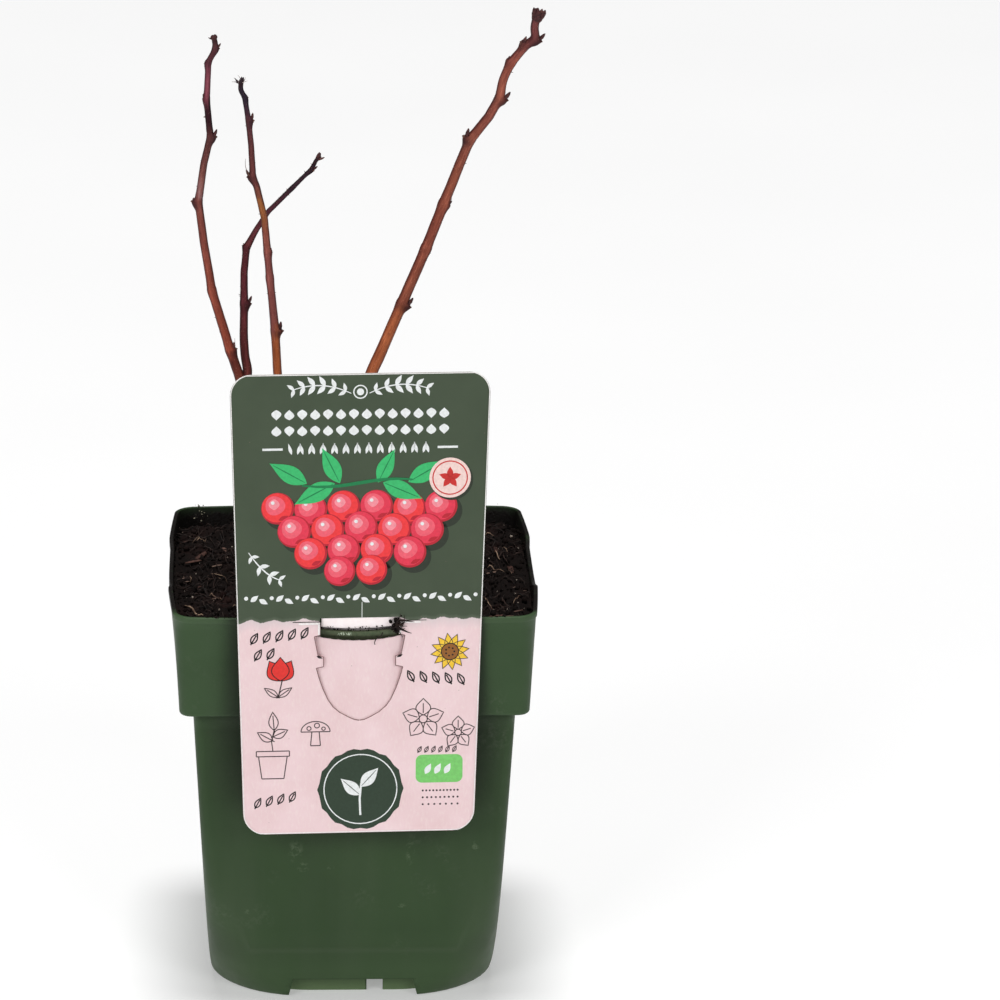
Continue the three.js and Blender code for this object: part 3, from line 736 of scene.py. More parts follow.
def pot_plastic():
    """The base tone first, then painted shade under the collar and painted light near the ground, streaks,
    scuffs and a painted sheen, a painted rim highlight, painted occlusion shade, the rub and painted
    glints, painted light on the rib, and the darkening inside and on the rim on top of all.
    """
    finish = Finish("pot_plastic", Specular_IOR_Level=0.22)
    mixed, levels, noise, times = finish.mixed, finish.levels, finish.noise, finish.times
    zones, darkening_and_painted_light = pot_zones(finish), finish.value("darkening_and_painted_light")
    colour = mixed(levels(noise(22, detail=4), 0.35, 0.65), POT_GREEN_DARK, POT_GREEN)
    colour = mixed(zones["below"], colour, finish.tinted(colour, SHADED_TINT))
    # painted light: lighter towards the ground, over the last 30 mm
    colour = mixed(zones["painted_ground_light"], colour, PAINTED_GROUND_LIGHT_GREEN)
    streaks = noise(60, vector=finish.stretched(finish.place, (1, 1, 0.08)))
    fine = levels(noise(420, detail=4, roughness=0.7), 0.48, 0.66)
    scuffs = times(levels(noise(38, detail=2), 0.58, 0.72), fine)
    # mould streaks, and a painted sheen on the foot's rounded corners
    grey = [levels(streaks, 0.45, 0.8, 0, 0.10), times(zones["foot"], 0.22)]
    for share in [*grey, times(zones["line"], 0.13), times(scuffs, 0.35)]:
        colour = mixed(share, colour, SCUFF_AND_SHEEN_GREY)
    colour = mixed(times(scuff_marks(finish, fine), 0.28), colour, SCUFF_PALE)
    # a painted highlight along the front rim's edge
    painted_rim_highlight = levels(finish.axis(darkening_and_painted_light, "Y"), 0.3, 0.9, 0, 0.14)
    colour = mixed(painted_rim_highlight, colour, PAINTED_RIM_HIGHLIGHT)
    # painted shade: where another surface stands close by, as behind the label, the plastic's colour is
    # darkened
    openness = finish.add("ShaderNodeAmbientOcclusion", {"Distance": 0.04}, samples=8).outputs["AO"]
    painted_occlusion_shade = times(levels(openness, 0.70, 0.83, 1.0, 0.0), zones["clear"])
    colour = mixed(painted_occlusion_shade, colour, finish.tinted(colour, OCCLUSION_SHADE_TINT))
    # the hook's rub, partly real and partly painted light on the shaded rim, and painted glints
    rub_and_painted_light, glints = hook_rub_and_painted_light(finish)
    colour = mixed(rub_and_painted_light, colour, RUB_AND_PAINTED_LIGHT_GREY)
    colour = mixed(glints, colour, PAINTED_GLINT_WHITE)
    # painted light on the foot rib, which stands in shade under the floor
    colour = mixed(times(finish.axis(darkening_and_painted_light, "Z"), 0.8), colour, PAINTED_RIB_LIGHT)
    # the inside and the rim are darkened, in patches
    clinging = levels(noise(130, detail=5, roughness=0.7), 0.3, 0.62, 0.55, 1.15)
    darkening = levels(times(finish.axis(darkening_and_painted_light, "X"), clinging), 0.2, 0.75)
    finish.set(Base_Color=mixed(darkening, colour, INSIDE_AND_RIM_DARK))
    finish.set(Roughness=levels(noise(90, detail=5), 0.3, 0.7, 0.42, 0.58))
    finish.bump(noise(900, detail=2), 0.05, 0.5)
    finish.bump(noise(45, detail=2), 0.25, 0.35)
    finish.bump(zones["line"], 0.12, 0.7)
    finish.bump(times(darkening, noise(1100, detail=4)), 0.5, 0.8)
    return finish.material


rib = rib_shape()
rib_painted_light = np.tile([0.0, 0.0, 1.0], (len(rib[0]), 1))
darkening_and_painted_light = {"darkening_and_painted_light": np.concatenate([pot_darkening_and_painted_light(), rib_painted_light])}
pot = piece("pot_moulding", joined([pot_shell, rib]), pot_plastic(), ["pot"], values=darkening_and_painted_light)
cut_away(pot, foot_cutters())
print("pot after cutting:", len(pot.data.polygons), "faces")

# %% [markdown]
# ## Potting soil
# Potting soil is a loose mix of peat, bark fibre and a few white grains. A flat dark lid would
# look like felt, and a bump texture alone stays flat at the edge of the pot. So the bed is one
# closed surface with real relief, from soft humps down to crumbs. Loose crumbs, fibres and pale
# grains then lie on it.

# %% Soil bed
SOIL_LEVEL = 161.4
SOIL_CORNER_DROP = 3.2
CROWN = np.array([-21.0, 12.0])
CROWN_PATCH = 18.0
CRUMB_RELIEF = 1.8
HOOK_BAY_AT = 1.5
HOOK_BAY_HALF = 17.7
HOOK_BAY_BACK = -68.4
HOOK_BAY_DEPTH = 6.0
SOIL_RINGS = 118
SOIL_PARTS = (92, 22)


def soil_height(x, y):
    """The level, less a drop in the corners, plus humps away from the canes, plus crumbs.

    Humps are products of sines. Crumbs are rough noise, sharpened by taking its size, so that
    its valleys become creases. The bay behind the label's hook is lowered.
    """
    cornerness = np.abs(x * y / 72**2) ** 3
    humps = 0.8 * np.sin(x / 9 + 1) * np.cos(y / 11) + 0.5 * np.sin((x - y) / 6)
    clear = smooth_step(np.hypot(x - CROWN[0], y - CROWN[1]), CROWN_PATCH, CROWN_PATCH + 12)
    edge = smooth_step(np.maximum(np.abs(x), np.abs(y)), 60, 72)
    crumbs = rough_noise(x, y, 9.0, 3, seed=11) + 0.9 * np.abs(rough_noise(x, y, 2.6, 3, seed=23)) - 0.5
    bay = smooth_step(HOOK_BAY_HALF - np.abs(x - HOOK_BAY_AT), -1, 1)
    bay = bay * smooth_step(HOOK_BAY_BACK - y, -1.5, 0.2)
    level = SOIL_LEVEL - SOIL_CORNER_DROP * cornerness - HOOK_BAY_DEPTH * bay
    return level + humps * clear * (1 - edge) + CRUMB_RELIEF * crumbs * (1 - 0.4 * edge)


def soil_bed():
    """Rounded squares from the middle out to the wall, then down it to a closed bottom."""
    brim = collar_ring(SOIL_LEVEL - SOIL_CORNER_DROP, WALL + 0.1)
    top = []
    for share in np.linspace(0, 1, SOIL_RINGS):
        half, corner, bow = (share * brim[name] for name in ("half", "corner", "bow"))
        points = ring_points(half, corner, bow, 0.0, 0.0, SOIL_PARTS)
        points[:, 2] = soil_height(points[:, 0], points[:, 1])
        top.append(points)
    body = [collar_ring(150, WALL + 0.3), collar_ring(SHELF_TOP + 0.3, WALL + 0.3)]
    body += [body_ring(z, WALL + 0.3) for z in (SHELF_TOP + 0.3, 60, 30, 15, FLOOR_UNDERSIDE + WALL + 0.3)]
    sides = [ring_points(**one, parts=SOIL_PARTS) for one in body]
    bottom = np.zeros_like(sides[0])
    bottom[:, 2] = FLOOR_UNDERSIDE + WALL + 0.3
    return surface(np.array(top + sides + [bottom]))


# %% Soil finish
SOIL_DARK = srgb(9, 6, 5)
SOIL_BROWN = srgb(27, 18, 15)
SOIL_RED = srgb(44, 25, 22)

peat = two_tones(
    "moist_peat", (900, 6, 0.7), (0.36, 0.66), SOIL_DARK, SOIL_BROWN,
    patches=(SOIL_RED, (70,), (0.5, 0.75, 0, 0.6)), relief=((1600, 5, 0.7), 0.5, 0.9),
    Roughness=0.85, Specular_IOR_Level=0.12,
)
piece("soil_bed", soil_bed(), peat, ["potting_soil"])


# %% [markdown]
# ## Crumbs, fibres and grains
# Thousands of loose bits make the soil's outline rough. Each is a small closed grid with only a
# few dozen faces. All bits of one kind are worked out together as one array, with no loop over
# them, and become one piece.

# %% Helpers for scattered bits
CORNER_REACH = 136.0
LUMP_DENTS = 0.25


def many(points):
    """Closed grids of one size, count by rows by columns by 3, as one joined shape."""
    count, rows, columns, _ = points.shape
    starts = np.arange(count)[:, None, None] * rows * columns
    return points.reshape(-1, 3), (grid_faces(rows, columns) + starts).reshape(-1, 4)


def unit(vectors):
    """Directions: each vector divided by its own length."""
    return vectors / np.linalg.norm(vectors, axis=-1, keepdims=True)


def tube(path, radius, sides, towards):
    """A closed round bar along a path, or many bars at once.

    Each ring is path + radius (cos a * side + sin a * over). Over is the direction towards
    without its part along the path, and side is square to both. Both ends shrink to a point.
    """
    along = unit(np.gradient(path, axis=-2))
    over = unit(towards - (towards * along).sum(axis=-1, keepdims=True) * along)
    side = np.cross(over, along)
    angle = np.linspace(0, 2 * np.pi, sides, endpoint=False)[:, None]
    rings = np.cos(angle) * side[..., None, :] + np.sin(angle) * over[..., None, :]
    radius = radius if radius.ndim == path.ndim else radius[..., None]
    body = path[..., None, :] + radius[..., None] * rings
    ends = np.broadcast_to(path[..., None, :], body.shape)
    return np.concatenate([ends[..., :1, :, :], body, ends[..., -1:, :, :]], axis=-3)


def lumps(rng, centres, sizes):
    """Small stones: a ball of 6 rings of 6 points, dented at random, stretched and turned."""
    count = len(centres)
    polar, angle = np.meshgrid(np.linspace(0, np.pi, 6), np.arange(6) * np.pi / 3, indexing="ij")
    ball = [np.sin(polar) * np.cos(angle), np.sin(polar) * np.sin(angle), np.cos(polar)]
    dents = 1 + LUMP_DENTS * rng.uniform(-1, 1, (count, 6, 6, 1)) * np.sin(polar)[None, :, :, None]
    stretch = rng.uniform(0.55, 1.25, (count, 1, 1, 3))
    points = np.stack(ball, axis=-1) * dents * stretch * np.asarray(sizes)[:, None, None, None]
    turn = rng.uniform(0, 2 * np.pi, (count, 1, 1))
    x, y, z = np.moveaxis(points, -1, 0)
    spun = x * np.cos(turn) - y * np.sin(turn), x * np.sin(turn) + y * np.cos(turn), z
    return np.stack(spun, axis=-1) + centres[:, None, None, :]


def off_corners(x, y):
    """Places drawn in along the diagonal until x and y together stay inside the rounded corners."""
    beyond = np.maximum(0, np.abs(x) + np.abs(y) - CORNER_REACH) / 2
    return x - np.sign(x) * beyond, y - np.sign(y) * beyond


def on_soil(rng, count, reach=71.0, height=0.0):
    """Random places on the soil, inside a square this far from the axis, less its corners."""
    x, y = rng.uniform(-reach, reach, (2, count))
    in_bay = (np.abs(x - HOOK_BAY_AT) < HOOK_BAY_HALF + 1) & (y < HOOK_BAY_BACK + 2)
    x, y = off_corners(x, np.where(in_bay, y + 8, y))
    return np.stack([x, y, soil_height(x, y) + height], axis=-1)


# %% Crumbs and pale grains
CRUMB_COUNT = 3200
GRAIN_COUNT = 120

soil_rng = np.random.default_rng(5)
crumb_sizes = 0.35 + 1.1 * soil_rng.power(0.45, CRUMB_COUNT)
crumbs = lumps(soil_rng, on_soil(soil_rng, CRUMB_COUNT, height=0.2), crumb_sizes)
piece("soil_crumbs", many(crumbs), peat)

pale_grain = two_tones(
    "pale_grain", (700, 4), (0.3, 0.7), srgb(132, 112, 98), srgb(204, 192, 178),
    relief=((1500,), 0.2), Roughness=0.7,
)
grain_sizes = 0.16 + 0.38 * soil_rng.power(0.5, GRAIN_COUNT)
grains = lumps(soil_rng, on_soil(soil_rng, GRAIN_COUNT, height=0.7), grain_sizes)
piece("pale_grains", many(grains), pale_grain)


# %% Fibres
FIBRE_COUNT = 1150
FIBRE_PARTS = 9


def threads(start, heading, turn, length, arch, radius, height):
    """Thin curved threads that lie on the soil; every number is a column, one row for a thread.

    The heading turns evenly along a thread, heading = start + turn * s, so it runs along an arc
    of a circle. It follows the soil's height and arches a little: arch * 4 s (1 - s).
    """
    s = np.linspace(0, 1, FIBRE_PARTS)
    heading = heading + turn * s
    x = start[:, :1] + np.cumsum(np.cos(heading), axis=1) * length / FIBRE_PARTS
    y = start[:, 1:2] + np.cumsum(np.sin(heading), axis=1) * length / FIBRE_PARTS
    x, y = off_corners(np.clip(x, -71.5, 71.5), np.clip(y, -67.0, 71.5))
    path = np.stack([x, y, soil_height(x, y) + height + arch * 4 * s * (1 - s)], axis=-1)
    return tube(path, radius * np.sin(np.pi * (0.08 + 0.86 * s)) ** 0.5, 4, np.array([0.0, 0.0, 1.0]))


def scattered_threads(rng, count, lengths, thickness, height=0.5):
    """Threads at random places, with random headings, bends and lengths."""
    start = on_soil(rng, count, reach=67.0)
    heading = rng.uniform(0, 2 * np.pi, (count, 1))
    turn = rng.normal(0, 1.4, (count, 1))
    length = rng.uniform(*lengths, (count, 1))
    arch = rng.uniform(-0.6, 1.6, (count, 1))
    return threads(start, heading, turn, length, arch, rng.uniform(*thickness, (count, 1)), height)


def fibre_finish(name, low, high):
    """A dry or wet fibre: two tones, with a satin skin and a faint grain."""
    looks = {"Roughness": 0.75, "Specular_IOR_Level": 0.3}
    return two_tones(name, (240,), (0.38, 0.64), low, high, relief=((1800,), 0.15), **looks)


brown_fibre = fibre_finish("brown_fibre", srgb(17, 11, 9), srgb(50, 33, 27))
straw = fibre_finish("straw_fibre", srgb(84, 62, 50), srgb(176, 148, 124))
peat_threads = scattered_threads(soil_rng, FIBRE_COUNT, (3, 13), (0.12, 0.34))
piece("peat_fibres", many(peat_threads), brown_fibre)

LAID_FIBRES = [
    # where each pale fibre starts, its length, its heading and turn in degrees, and its thickness
    (-69, -37.5, 16.5, -52, -14, 0.42), (-58.6, -25, 8, -62, 40, 0.26), (56, 52.5, 5, -25, 10, 0.26),
    (58.9, 22, 8.6, -78, 10, 0.24), (64.2, -35, 6, 62, -20, 0.25), (53.3, -30, 12, -86, 22, 0.22),
    (55, 5, 8, 10, -24, 0.26), (-66, -9, 6, 70, 40, 0.2), (-50, -40, 9, 15, 30, 0.2),
    (24, 50, 12, 160, 50, 0.3), (-8, 60, 11, 20, -70, 0.3), (12, -20, 10, 80, 60, 0.28),
]
x, y, length, heading, turn, thickness = np.array(LAID_FIBRES).T[:, :, None]
starts = np.hstack([x, y])
laid_threads = threads(starts, np.radians(heading), np.radians(turn), length, 0.8, thickness, 1.1)
straw_threads = scattered_threads(soil_rng, 36, (4, 12), (0.10, 0.24), height=0.9)
piece("straw_fibres", many(np.concatenate([laid_threads, straw_threads])), straw)


# %% [markdown]
# ## Bark chips
# Here and there a sliver of bark lies on top, reddish or bleached. Scattering them by chance would
# do, but a list lets each one be laid where it looks right.

# %% Bark chips
CHIPS = [
    # where each chip lies, its length, its heading in degrees, and how pale it is from 0 to 1
    (-61.5, 24, 8.5, 62, 0.5), (-64.6, 16.5, 7, 15, 0.6), (-68.2, 46, 5, 30, 0.5),
    (-51.8, 43, 6.5, 105, 0.7), (-55, 7.3, 4.2, 15, 1), (-68.6, -3, 4, 100, 0.9),
    (-67.4, -8.5, 2.6, 10, 1), (-55.4, -27.5, 3.6, 20, 0.95), (-62, -14, 3, 50, 0.4),
    (61, 41.5, 8, 100, 0.4), (65.6, 9, 9, 95, 0.4), (57.2, 2, 4.5, 20, 0.9),
    (57, -47.5, 6.5, 5, 0.6), (66, -48.5, 4, 20, 0.7), (62, -57, 3.4, 0, 0.8),
    (69.9, -22.6, 1.6, 0, 1), (65.6, -21.4, 1.4, 40, 1), (-60, -60, 3.8, 12, 0.8),
    (-48, -63, 3, -20, 0.7), (30, 40, 9, 50, 0.5), (-4, 36, 8, 140, 0.6),
    (28, -10, 7, 20, 0.5), (-20, -34, 8, 70, 0.45), (10, 64, 7, 10, 0.7),
]


def bark_chips(rng):
    """Flat slivers: a ball with corners, 1 long, 0.26 wide and 0.10 thick, times its length."""
    x, y, length, heading, _ = (column[:, None, None] for column in np.array(CHIPS).T)
    around = np.linspace(0, 2 * np.pi, 8, endpoint=False)
    polar, angle = np.meshgrid(np.linspace(0, np.pi, 7), around, indexing="ij")
    ball = np.stack([np.cos(polar), np.sin(polar) * np.cos(angle), np.sin(polar) * np.sin(angle)])
    along, across, up = np.sign(ball) * np.abs(ball) ** 0.7
    dents = 1 + 0.34 * rng.uniform(-1, 1, (len(CHIPS), 7, 8)) * np.sin(polar)
    half = 0.5 * length * dents
    cosine, sine = compass(heading)
    px = x + half * (along * cosine - 0.26 * across * sine)
    py = y + half * (along * sine + 0.26 * across * cosine)
    pz = soil_height(x, y) + 0.9 + half * (0.10 * up + 0.08 * along)
    return np.stack([px, py, pz], axis=-1)


def chip_finish():
    """Torn bark: reddish brown to pale wood, by a number that each chip keeps at its points."""
    finish = Finish("bark_chip", Roughness=0.75, Specular_IOR_Level=0.2)
    pale = finish.axis(finish.value("paleness"), "X")
    colour = finish.ramp(pale, (0.2, srgb(54, 31, 27)), (0.6, srgb(98, 68, 59)), (1.0, srgb(150, 124, 110)))
    grain = finish.levels(finish.noise(700, detail=4), 0.35, 0.65)
    finish.set(Base_Color=finish.mixed(grain, finish.mixed(0.6, colour, SOIL_BROWN), colour))
    return finish.bump(finish.noise(900, detail=3), 0.2).material


chips = bark_chips(soil_rng)
paleness = np.zeros_like(chips)
paleness[..., 0] = np.array(CHIPS)[:, 4, None, None]
piece("bark_chips", many(chips), chip_finish(), values={"paleness": paleness})


# %% [markdown]
# ## Soil on the wall and the rim
# Filling a pot leaves crumbs on the plastic above the soil, most of them low down, and a little
# lime in one corner. They are the same small stones as before, set on the wall by its own formula.

# %% Soil that clings to the wall and the rim
CLINGING_COUNT = 700
RIM_CRUMBS = 110
PALE_SPECKS = 80


def inner_wall(along, z, quarter):
    """Places on the inside of the collar, a turn by quarters from the right-hand side."""
    share = (z - COLLAR_UNDERSIDE) / (POT_HEIGHT - COLLAR_UNDERSIDE)
    half = COLLAR_FOOT_HALF + (RIM_HALF - COLLAR_FOOT_HALF) * share
    out = half - WALL - 0.1 - side_bow(along)
    out = out - rim_neck(along) * np.clip(inner_dip(z), 0, 1)
    x = np.choose(quarter, [out, -along, -out, along])
    y = np.choose(quarter, [along, out, -along, -out])
    return np.stack([x, y, z], axis=-1)


sides = soil_rng.integers(0, 3, CLINGING_COUNT)
heights = SOIL_LEVEL - 1 + 6.0 * soil_rng.power(0.5, CLINGING_COUNT)
alongs = soil_rng.uniform(-62, 62, CLINGING_COUNT)
places = inner_wall(alongs, heights - 0.9 * rim_dip(alongs), sides)
clinging = lumps(soil_rng, places, 0.2 + 0.55 * soil_rng.power(0.5, CLINGING_COUNT))
piece("soil_on_wall", many(clinging), peat)

alongs = soil_rng.uniform(-60, 62, RIM_CRUMBS)
depths = -RIM_HALF + side_bow(alongs) + soil_rng.uniform(0.5, 2.0, RIM_CRUMBS)
places = np.stack([alongs, depths, POT_HEIGHT - rim_dip(alongs) + 0.1], axis=-1)
on_rim = lumps(soil_rng, places, 0.15 + 0.4 * soil_rng.power(0.5, RIM_CRUMBS))
piece("soil_on_rim", many(on_rim), peat)

alongs = np.concatenate([soil_rng.normal(61.5, 2.2, 50), soil_rng.uniform(-66, -50, 30)])
heights = np.concatenate([soil_rng.normal(165.6, 1.5, 50), soil_rng.normal(166.6, 0.8, 30)])
speck_sizes = 0.14 + 0.30 * soil_rng.power(0.6, PALE_SPECKS)
specks = lumps(soil_rng, inner_wall(alongs, heights, 1), speck_sizes)
lime = fibre_finish("lime_speck", srgb(104, 100, 84), srgb(186, 178, 156))
piece("pale_specks_on_wall", many(specks), lime)


# %% [markdown]
# ## Bare canes
# A cane grows in stretches: it runs nearly straight, and at each node, where a leaf sat, it turns
# a little. A curve object with a bevel could draw that, but it can't swell at a node or carry
# ribs. So each cane is a tube with its own radius at every ring and every angle. Its route is a
# list of stretches, each with a length and two leans, and the side on which its node has a bud.

# %% Routes of the canes
CANE_FOOT = 161.7
CANES = {
    # name: foot x and y, radius at the foot, radius at the tip, and the stretches in mm and
    # degrees: (length, lean to the right, lean to the back, side of the bud)
    "cane_left": ((-27, 6), 2.42, 1.02, [
        (86.3, -12.7, -1, ""), (11, -18, -5, "right"), (27.2, -15.7, -7, "back"),
        (21.2, -8.7, -8, ""), (17.8, -7, -7, "left"), (16.1, 8, -4, ""), (11.6, 13, -5, "right"),
        (16.2, -5, -7, "left"), (15, 3, -4, "left"), (6.8, 23, -5, "right"), (5, -6, -6, "tip"),
    ]),
    "cane_middle": ((-24, 19), 2.25, 0.95, [
        (82.6, -4.3, -3, ""), (18.1, -3, -6, "right"), (23.1, -5.5, -5, "back"),
        (11.2, -5, -5, "right"), (14.6, -5, -4, ""), (13.7, -13, -6, ""), (4.4, -20, 0, "left"),
        (12.6, -3, 5, ""), (10.2, -6, 6, "right"), (9.3, -9, 3, "right"), (3.8, -24, 0, ""),
        (4.1, 3, 0, "tip"),
    ]),
    "cane_right": ((-13, 12), 2.75, 1.6, [
        (82.4, 14.8, 6, ""), (31.9, 23.5, 8, "right"), (24.8, 23.1, 5, "back"), (20.2, 20.6, 0, "right"),
        (20.7, 20.2, -6, ""), (8.9, 22, -7, "left"), (13, 35, -16, ""), (9.1, 27, -14, "right"),
        (8.2, 10, -11, ""), (8.5, 22, -11, "left"), (9.6, 37, -15, "left"), (4.6, 48, -19, "right"),
        (4.8, -1, -6, ""), (6, 10, -5, "tip"),
    ]),
}
SIDE_CANE_AT = 81.0
SIDE_CANE = {
    "side_cane_lower": (1.85, 1.4, [
        (5.5, 25, 18, ""), (7.9, -7, 13, ""), (8.1, -3, 14, ""), (12.6, 1, 11, "right"),
        (13, 0, 9, ""), (10.6, 6, 11, "left"),
    ]),
    "side_cane_upper": (1.2, 0.75, [
        (8.8, 33, 39, ""), (9.1, 37, 32, ""), (14.5, 50, 38, "back"), (11.2, 50, 38, "right"),
        (4.5, 32, 30, ""), (2.3, 46, 35, "tip"),
    ]),
}
BUDLESS = {
    ("cane_left", 2), ("cane_left", 5), ("side_cane_lower", 1), ("cane_middle", 1), ("cane_middle", 5),
}
NODE_SIZES = {
    # the nodes, counted from the foot, whose bud and spur are smaller than the rest
    "cane_left": {0: 0.55, 1: 0.6, 4: 0.35, 5: 0.45, 6: 0.7},
    "cane_middle": {1: 0.5, 2: 0.4, 5: 0.3},
    "cane_right": {1: 0.6, 2: 0.4, 5: 0.45, 6: 0.85},
    "side_cane_lower": {1: 0.4},
    "side_cane_upper": {0: 0.5, 1: 0.7},
}
BUD_SIDES = {"left": (-1, -0.25, 0), "right": (1, -0.25, 0), "front": (-0.3, -1, 0), "back": (0.3, 1, 0)}


# %% From a route to a smooth line
def bends(start, stretches):
    """The points where a limb bends, two more inside each long stretch, and the nodes' lengths."""
    lengths = np.array([stretch[0] for stretch in stretches])
    leans = np.tan(np.radians([stretch[1:3] for stretch in stretches]))
    steps = unit(np.column_stack([leans, np.ones(len(stretches))])) * lengths[:, None]
    corners = np.vstack([start, start + np.cumsum(steps, axis=0)])
    shares = [(0.25, 0.75, 1.0) if length > 9 else (1.0,) for length in lengths]
    points = [corners[0]]
    points += [corners[i] + share * steps[i] for i, some in enumerate(shares) for share in some]
    return np.array(points), np.cumsum(lengths)


def smooth_line(points, parts=30):
    """A curve through all points: a centripetal Catmull-Rom spline.

    Each stretch is a cubic. Its tangents come from the neighbouring points, weighted by the
    square root of the distances, which keeps uneven spacing from making loops.
    """
    ends = 2 * points[0] - points[1], 2 * points[-1] - points[-2]
    p = np.vstack([ends[0], points, ends[1]])
    gap = np.sqrt(np.linalg.norm(np.diff(p, axis=0), axis=1))[:, None]
    before, here, after = gap[:-2], gap[1:-1], gap[2:]
    p0, p1, p2, p3 = p[:-3], p[1:-2], p[2:-1], p[3:]
    leave = ((p1 - p0) / before - (p2 - p0) / (before + here) + (p2 - p1) / here) * here
    arrive = ((p2 - p1) / here - (p3 - p1) / (here + after) + (p3 - p2) / after) * here
    t = np.linspace(0, 1, parts, endpoint=False)[None, :, None]
    p1, p2, leave, arrive = (a[:, None] for a in (p1, p2, leave, arrive))
    cubic = (2 * p1 - 2 * p2 + leave + arrive) * t**3 + (3 * p2 - 3 * p1 - 2 * leave - arrive) * t**2
    return np.vstack([(cubic + leave * t + p1).reshape(-1, 3), points[-1:]])


class Limb:
    """A limb's even steps, radii and nodes, worked out once and used by bark and buds alike."""

    STEP = 0.6

    def __init__(self, start, base, tip, stretches, flared, sizes):
        points, node_lengths = bends(np.asarray(start, float), stretches)
        line = smooth_line(points)
        travelled = np.concatenate([[0], np.cumsum(np.linalg.norm(np.diff(line, axis=0), axis=1))])
        self.length = travelled[-1]
        self.base, self.tip, self.flared = base, tip, flared
        self.distance = np.linspace(0, self.length, int(self.length / self.STEP))
        self.path = np.stack([np.interp(self.distance, travelled, line[:, i]) for i in range(3)], axis=-1)
        self.along = unit(np.gradient(self.path, axis=0))
        scaled = node_lengths / node_lengths[-1] * self.length
        sides = [(stretch[3], place) for stretch, place in zip(stretches, scaled) if stretch[3]]
        self.nodes = [(side, place, sizes.get(i, 1.0)) for i, (side, place) in enumerate(sides)]

    def taper(self, distance):
        """The plain radius: tip + (base - tip) * (1 - share) ** 0.8."""
        return self.tip + (self.base - self.tip) * np.clip(1 - distance / self.length, 0, 1) ** 0.8

    def at(self, distance):
        """Place and direction this far along."""
        step = min(int(round(distance / self.length * (len(self.path) - 1))), len(self.path) - 1)
        return self.path[step], self.along[step]


# %% Bark surface
NODE_SWELLING = 0.14
NODE_REACH = 2.4
SPUR = 0.66
FOOT_FLARE = 0.35
BARK_SIDES = 28
FRONT = np.array([0.0, -1.0, 0.0])


def side_angle(side):
    """Where round the limb a bud sits: 0 at the left, a quarter turn at the front."""
    x, y, _ = BUD_SIDES[side]
    return np.arctan2(-y, -x)


def bark(limb, seed):
    """A tube whose radius is the taper times swellings, spurs, ribs and small dents.

    Swelling at a node: 0.14 * exp(-(d / 2.4) ** 2). Spur, the foot of the fallen leaf: on the
    bud's side it climbs from 5 mm under the node, juts out, and drops just above the node.
    Ribs are a few waves round the limb, which turn slowly with height. Dents are rough noise.
    """
    distance = limb.distance[:, None]
    angle = np.linspace(0, 2 * np.pi, BARK_SIDES, endpoint=False)[None, :]
    shape = 1 + FOOT_FLARE * np.exp(-distance / 4) * limb.flared
    for side, place, size in limb.nodes:
        d = distance - place
        if side == "tip":
            shape = shape - 0.12 * smooth_step(d, -2.0, 0.0)
            continue
        facing = np.maximum(0, np.cos(angle - side_angle(side)))
        climb = smooth_step(d, -5.0, 0.2) ** 1.7 * (1 - smooth_step(d, 0.1, 1.3))
        shape = shape + NODE_SWELLING * np.exp(-((d / NODE_REACH) ** 2)) + SPUR * size * facing**4 * climb
        shape = shape - 0.05 * np.exp(-(((d - 1.7) / 0.5) ** 2))
    ribs = 0.022 * np.sin(5 * angle + distance / 34 + seed) + 0.014 * np.sin(8 * angle - distance / 21)
    around = angle * BARK_SIDES / (2 * np.pi)
    dents = 0.03 * rough_noise(distance + 0 * angle, around + 0 * distance, 7.0, 3, seed=40 + seed)
    return tube(limb.path, limb.taper(distance) * (shape + ribs + dents), BARK_SIDES, FRONT)


def near_nodes(limb, angle):
    """How near each point is to a node, most of all on its bud's side, by exp(-((d + 1) / 2.6) ** 2)."""
    nearness = np.zeros((len(limb.distance), len(angle)))
    for side, place, size in limb.nodes:
        facing = 1.0 if side == "tip" else 0.35 + 0.65 * np.maximum(0, np.cos(angle - side_angle(side)))
        d = limb.distance[:, None] - place
        nearness = nearness + size * facing * np.exp(-(((d + 1.0) / 2.6) ** 2))
    return nearness


def limb_piece(name, limb, finish, seed):
    """The bark as a piece; each point keeps its place round and along the limb for the finish."""
    angle = np.linspace(0, 2 * np.pi, BARK_SIDES, endpoint=False)
    distance = np.concatenate([limb.distance[:1], limb.distance, limb.distance[-1:]])
    place = np.zeros((len(distance), BARK_SIDES, 3))
    place[..., 0], place[..., 1] = np.cos(angle), np.sin(angle)
    place[..., 2] = distance[:, None]
    nearness = near_nodes(limb, angle)
    look = np.zeros_like(place)
    look[..., 0] = np.concatenate([nearness[:1], nearness, nearness[-1:]])
    values = {"limb_place": place, "limb_look": look}
    return piece(f"bark_of_{name}", surface(bark(limb, seed)), finish, [name], values=values)


# %% [markdown]
# ## The look of bark
# Young raspberry bark is smooth and satin. It runs from orange brown low down, where the sun
# bleached it, to plum at the tips, with fine lengthwise streaks and small pale scars. The finish
# reads each point's place on its limb, so the streaks follow every bend.

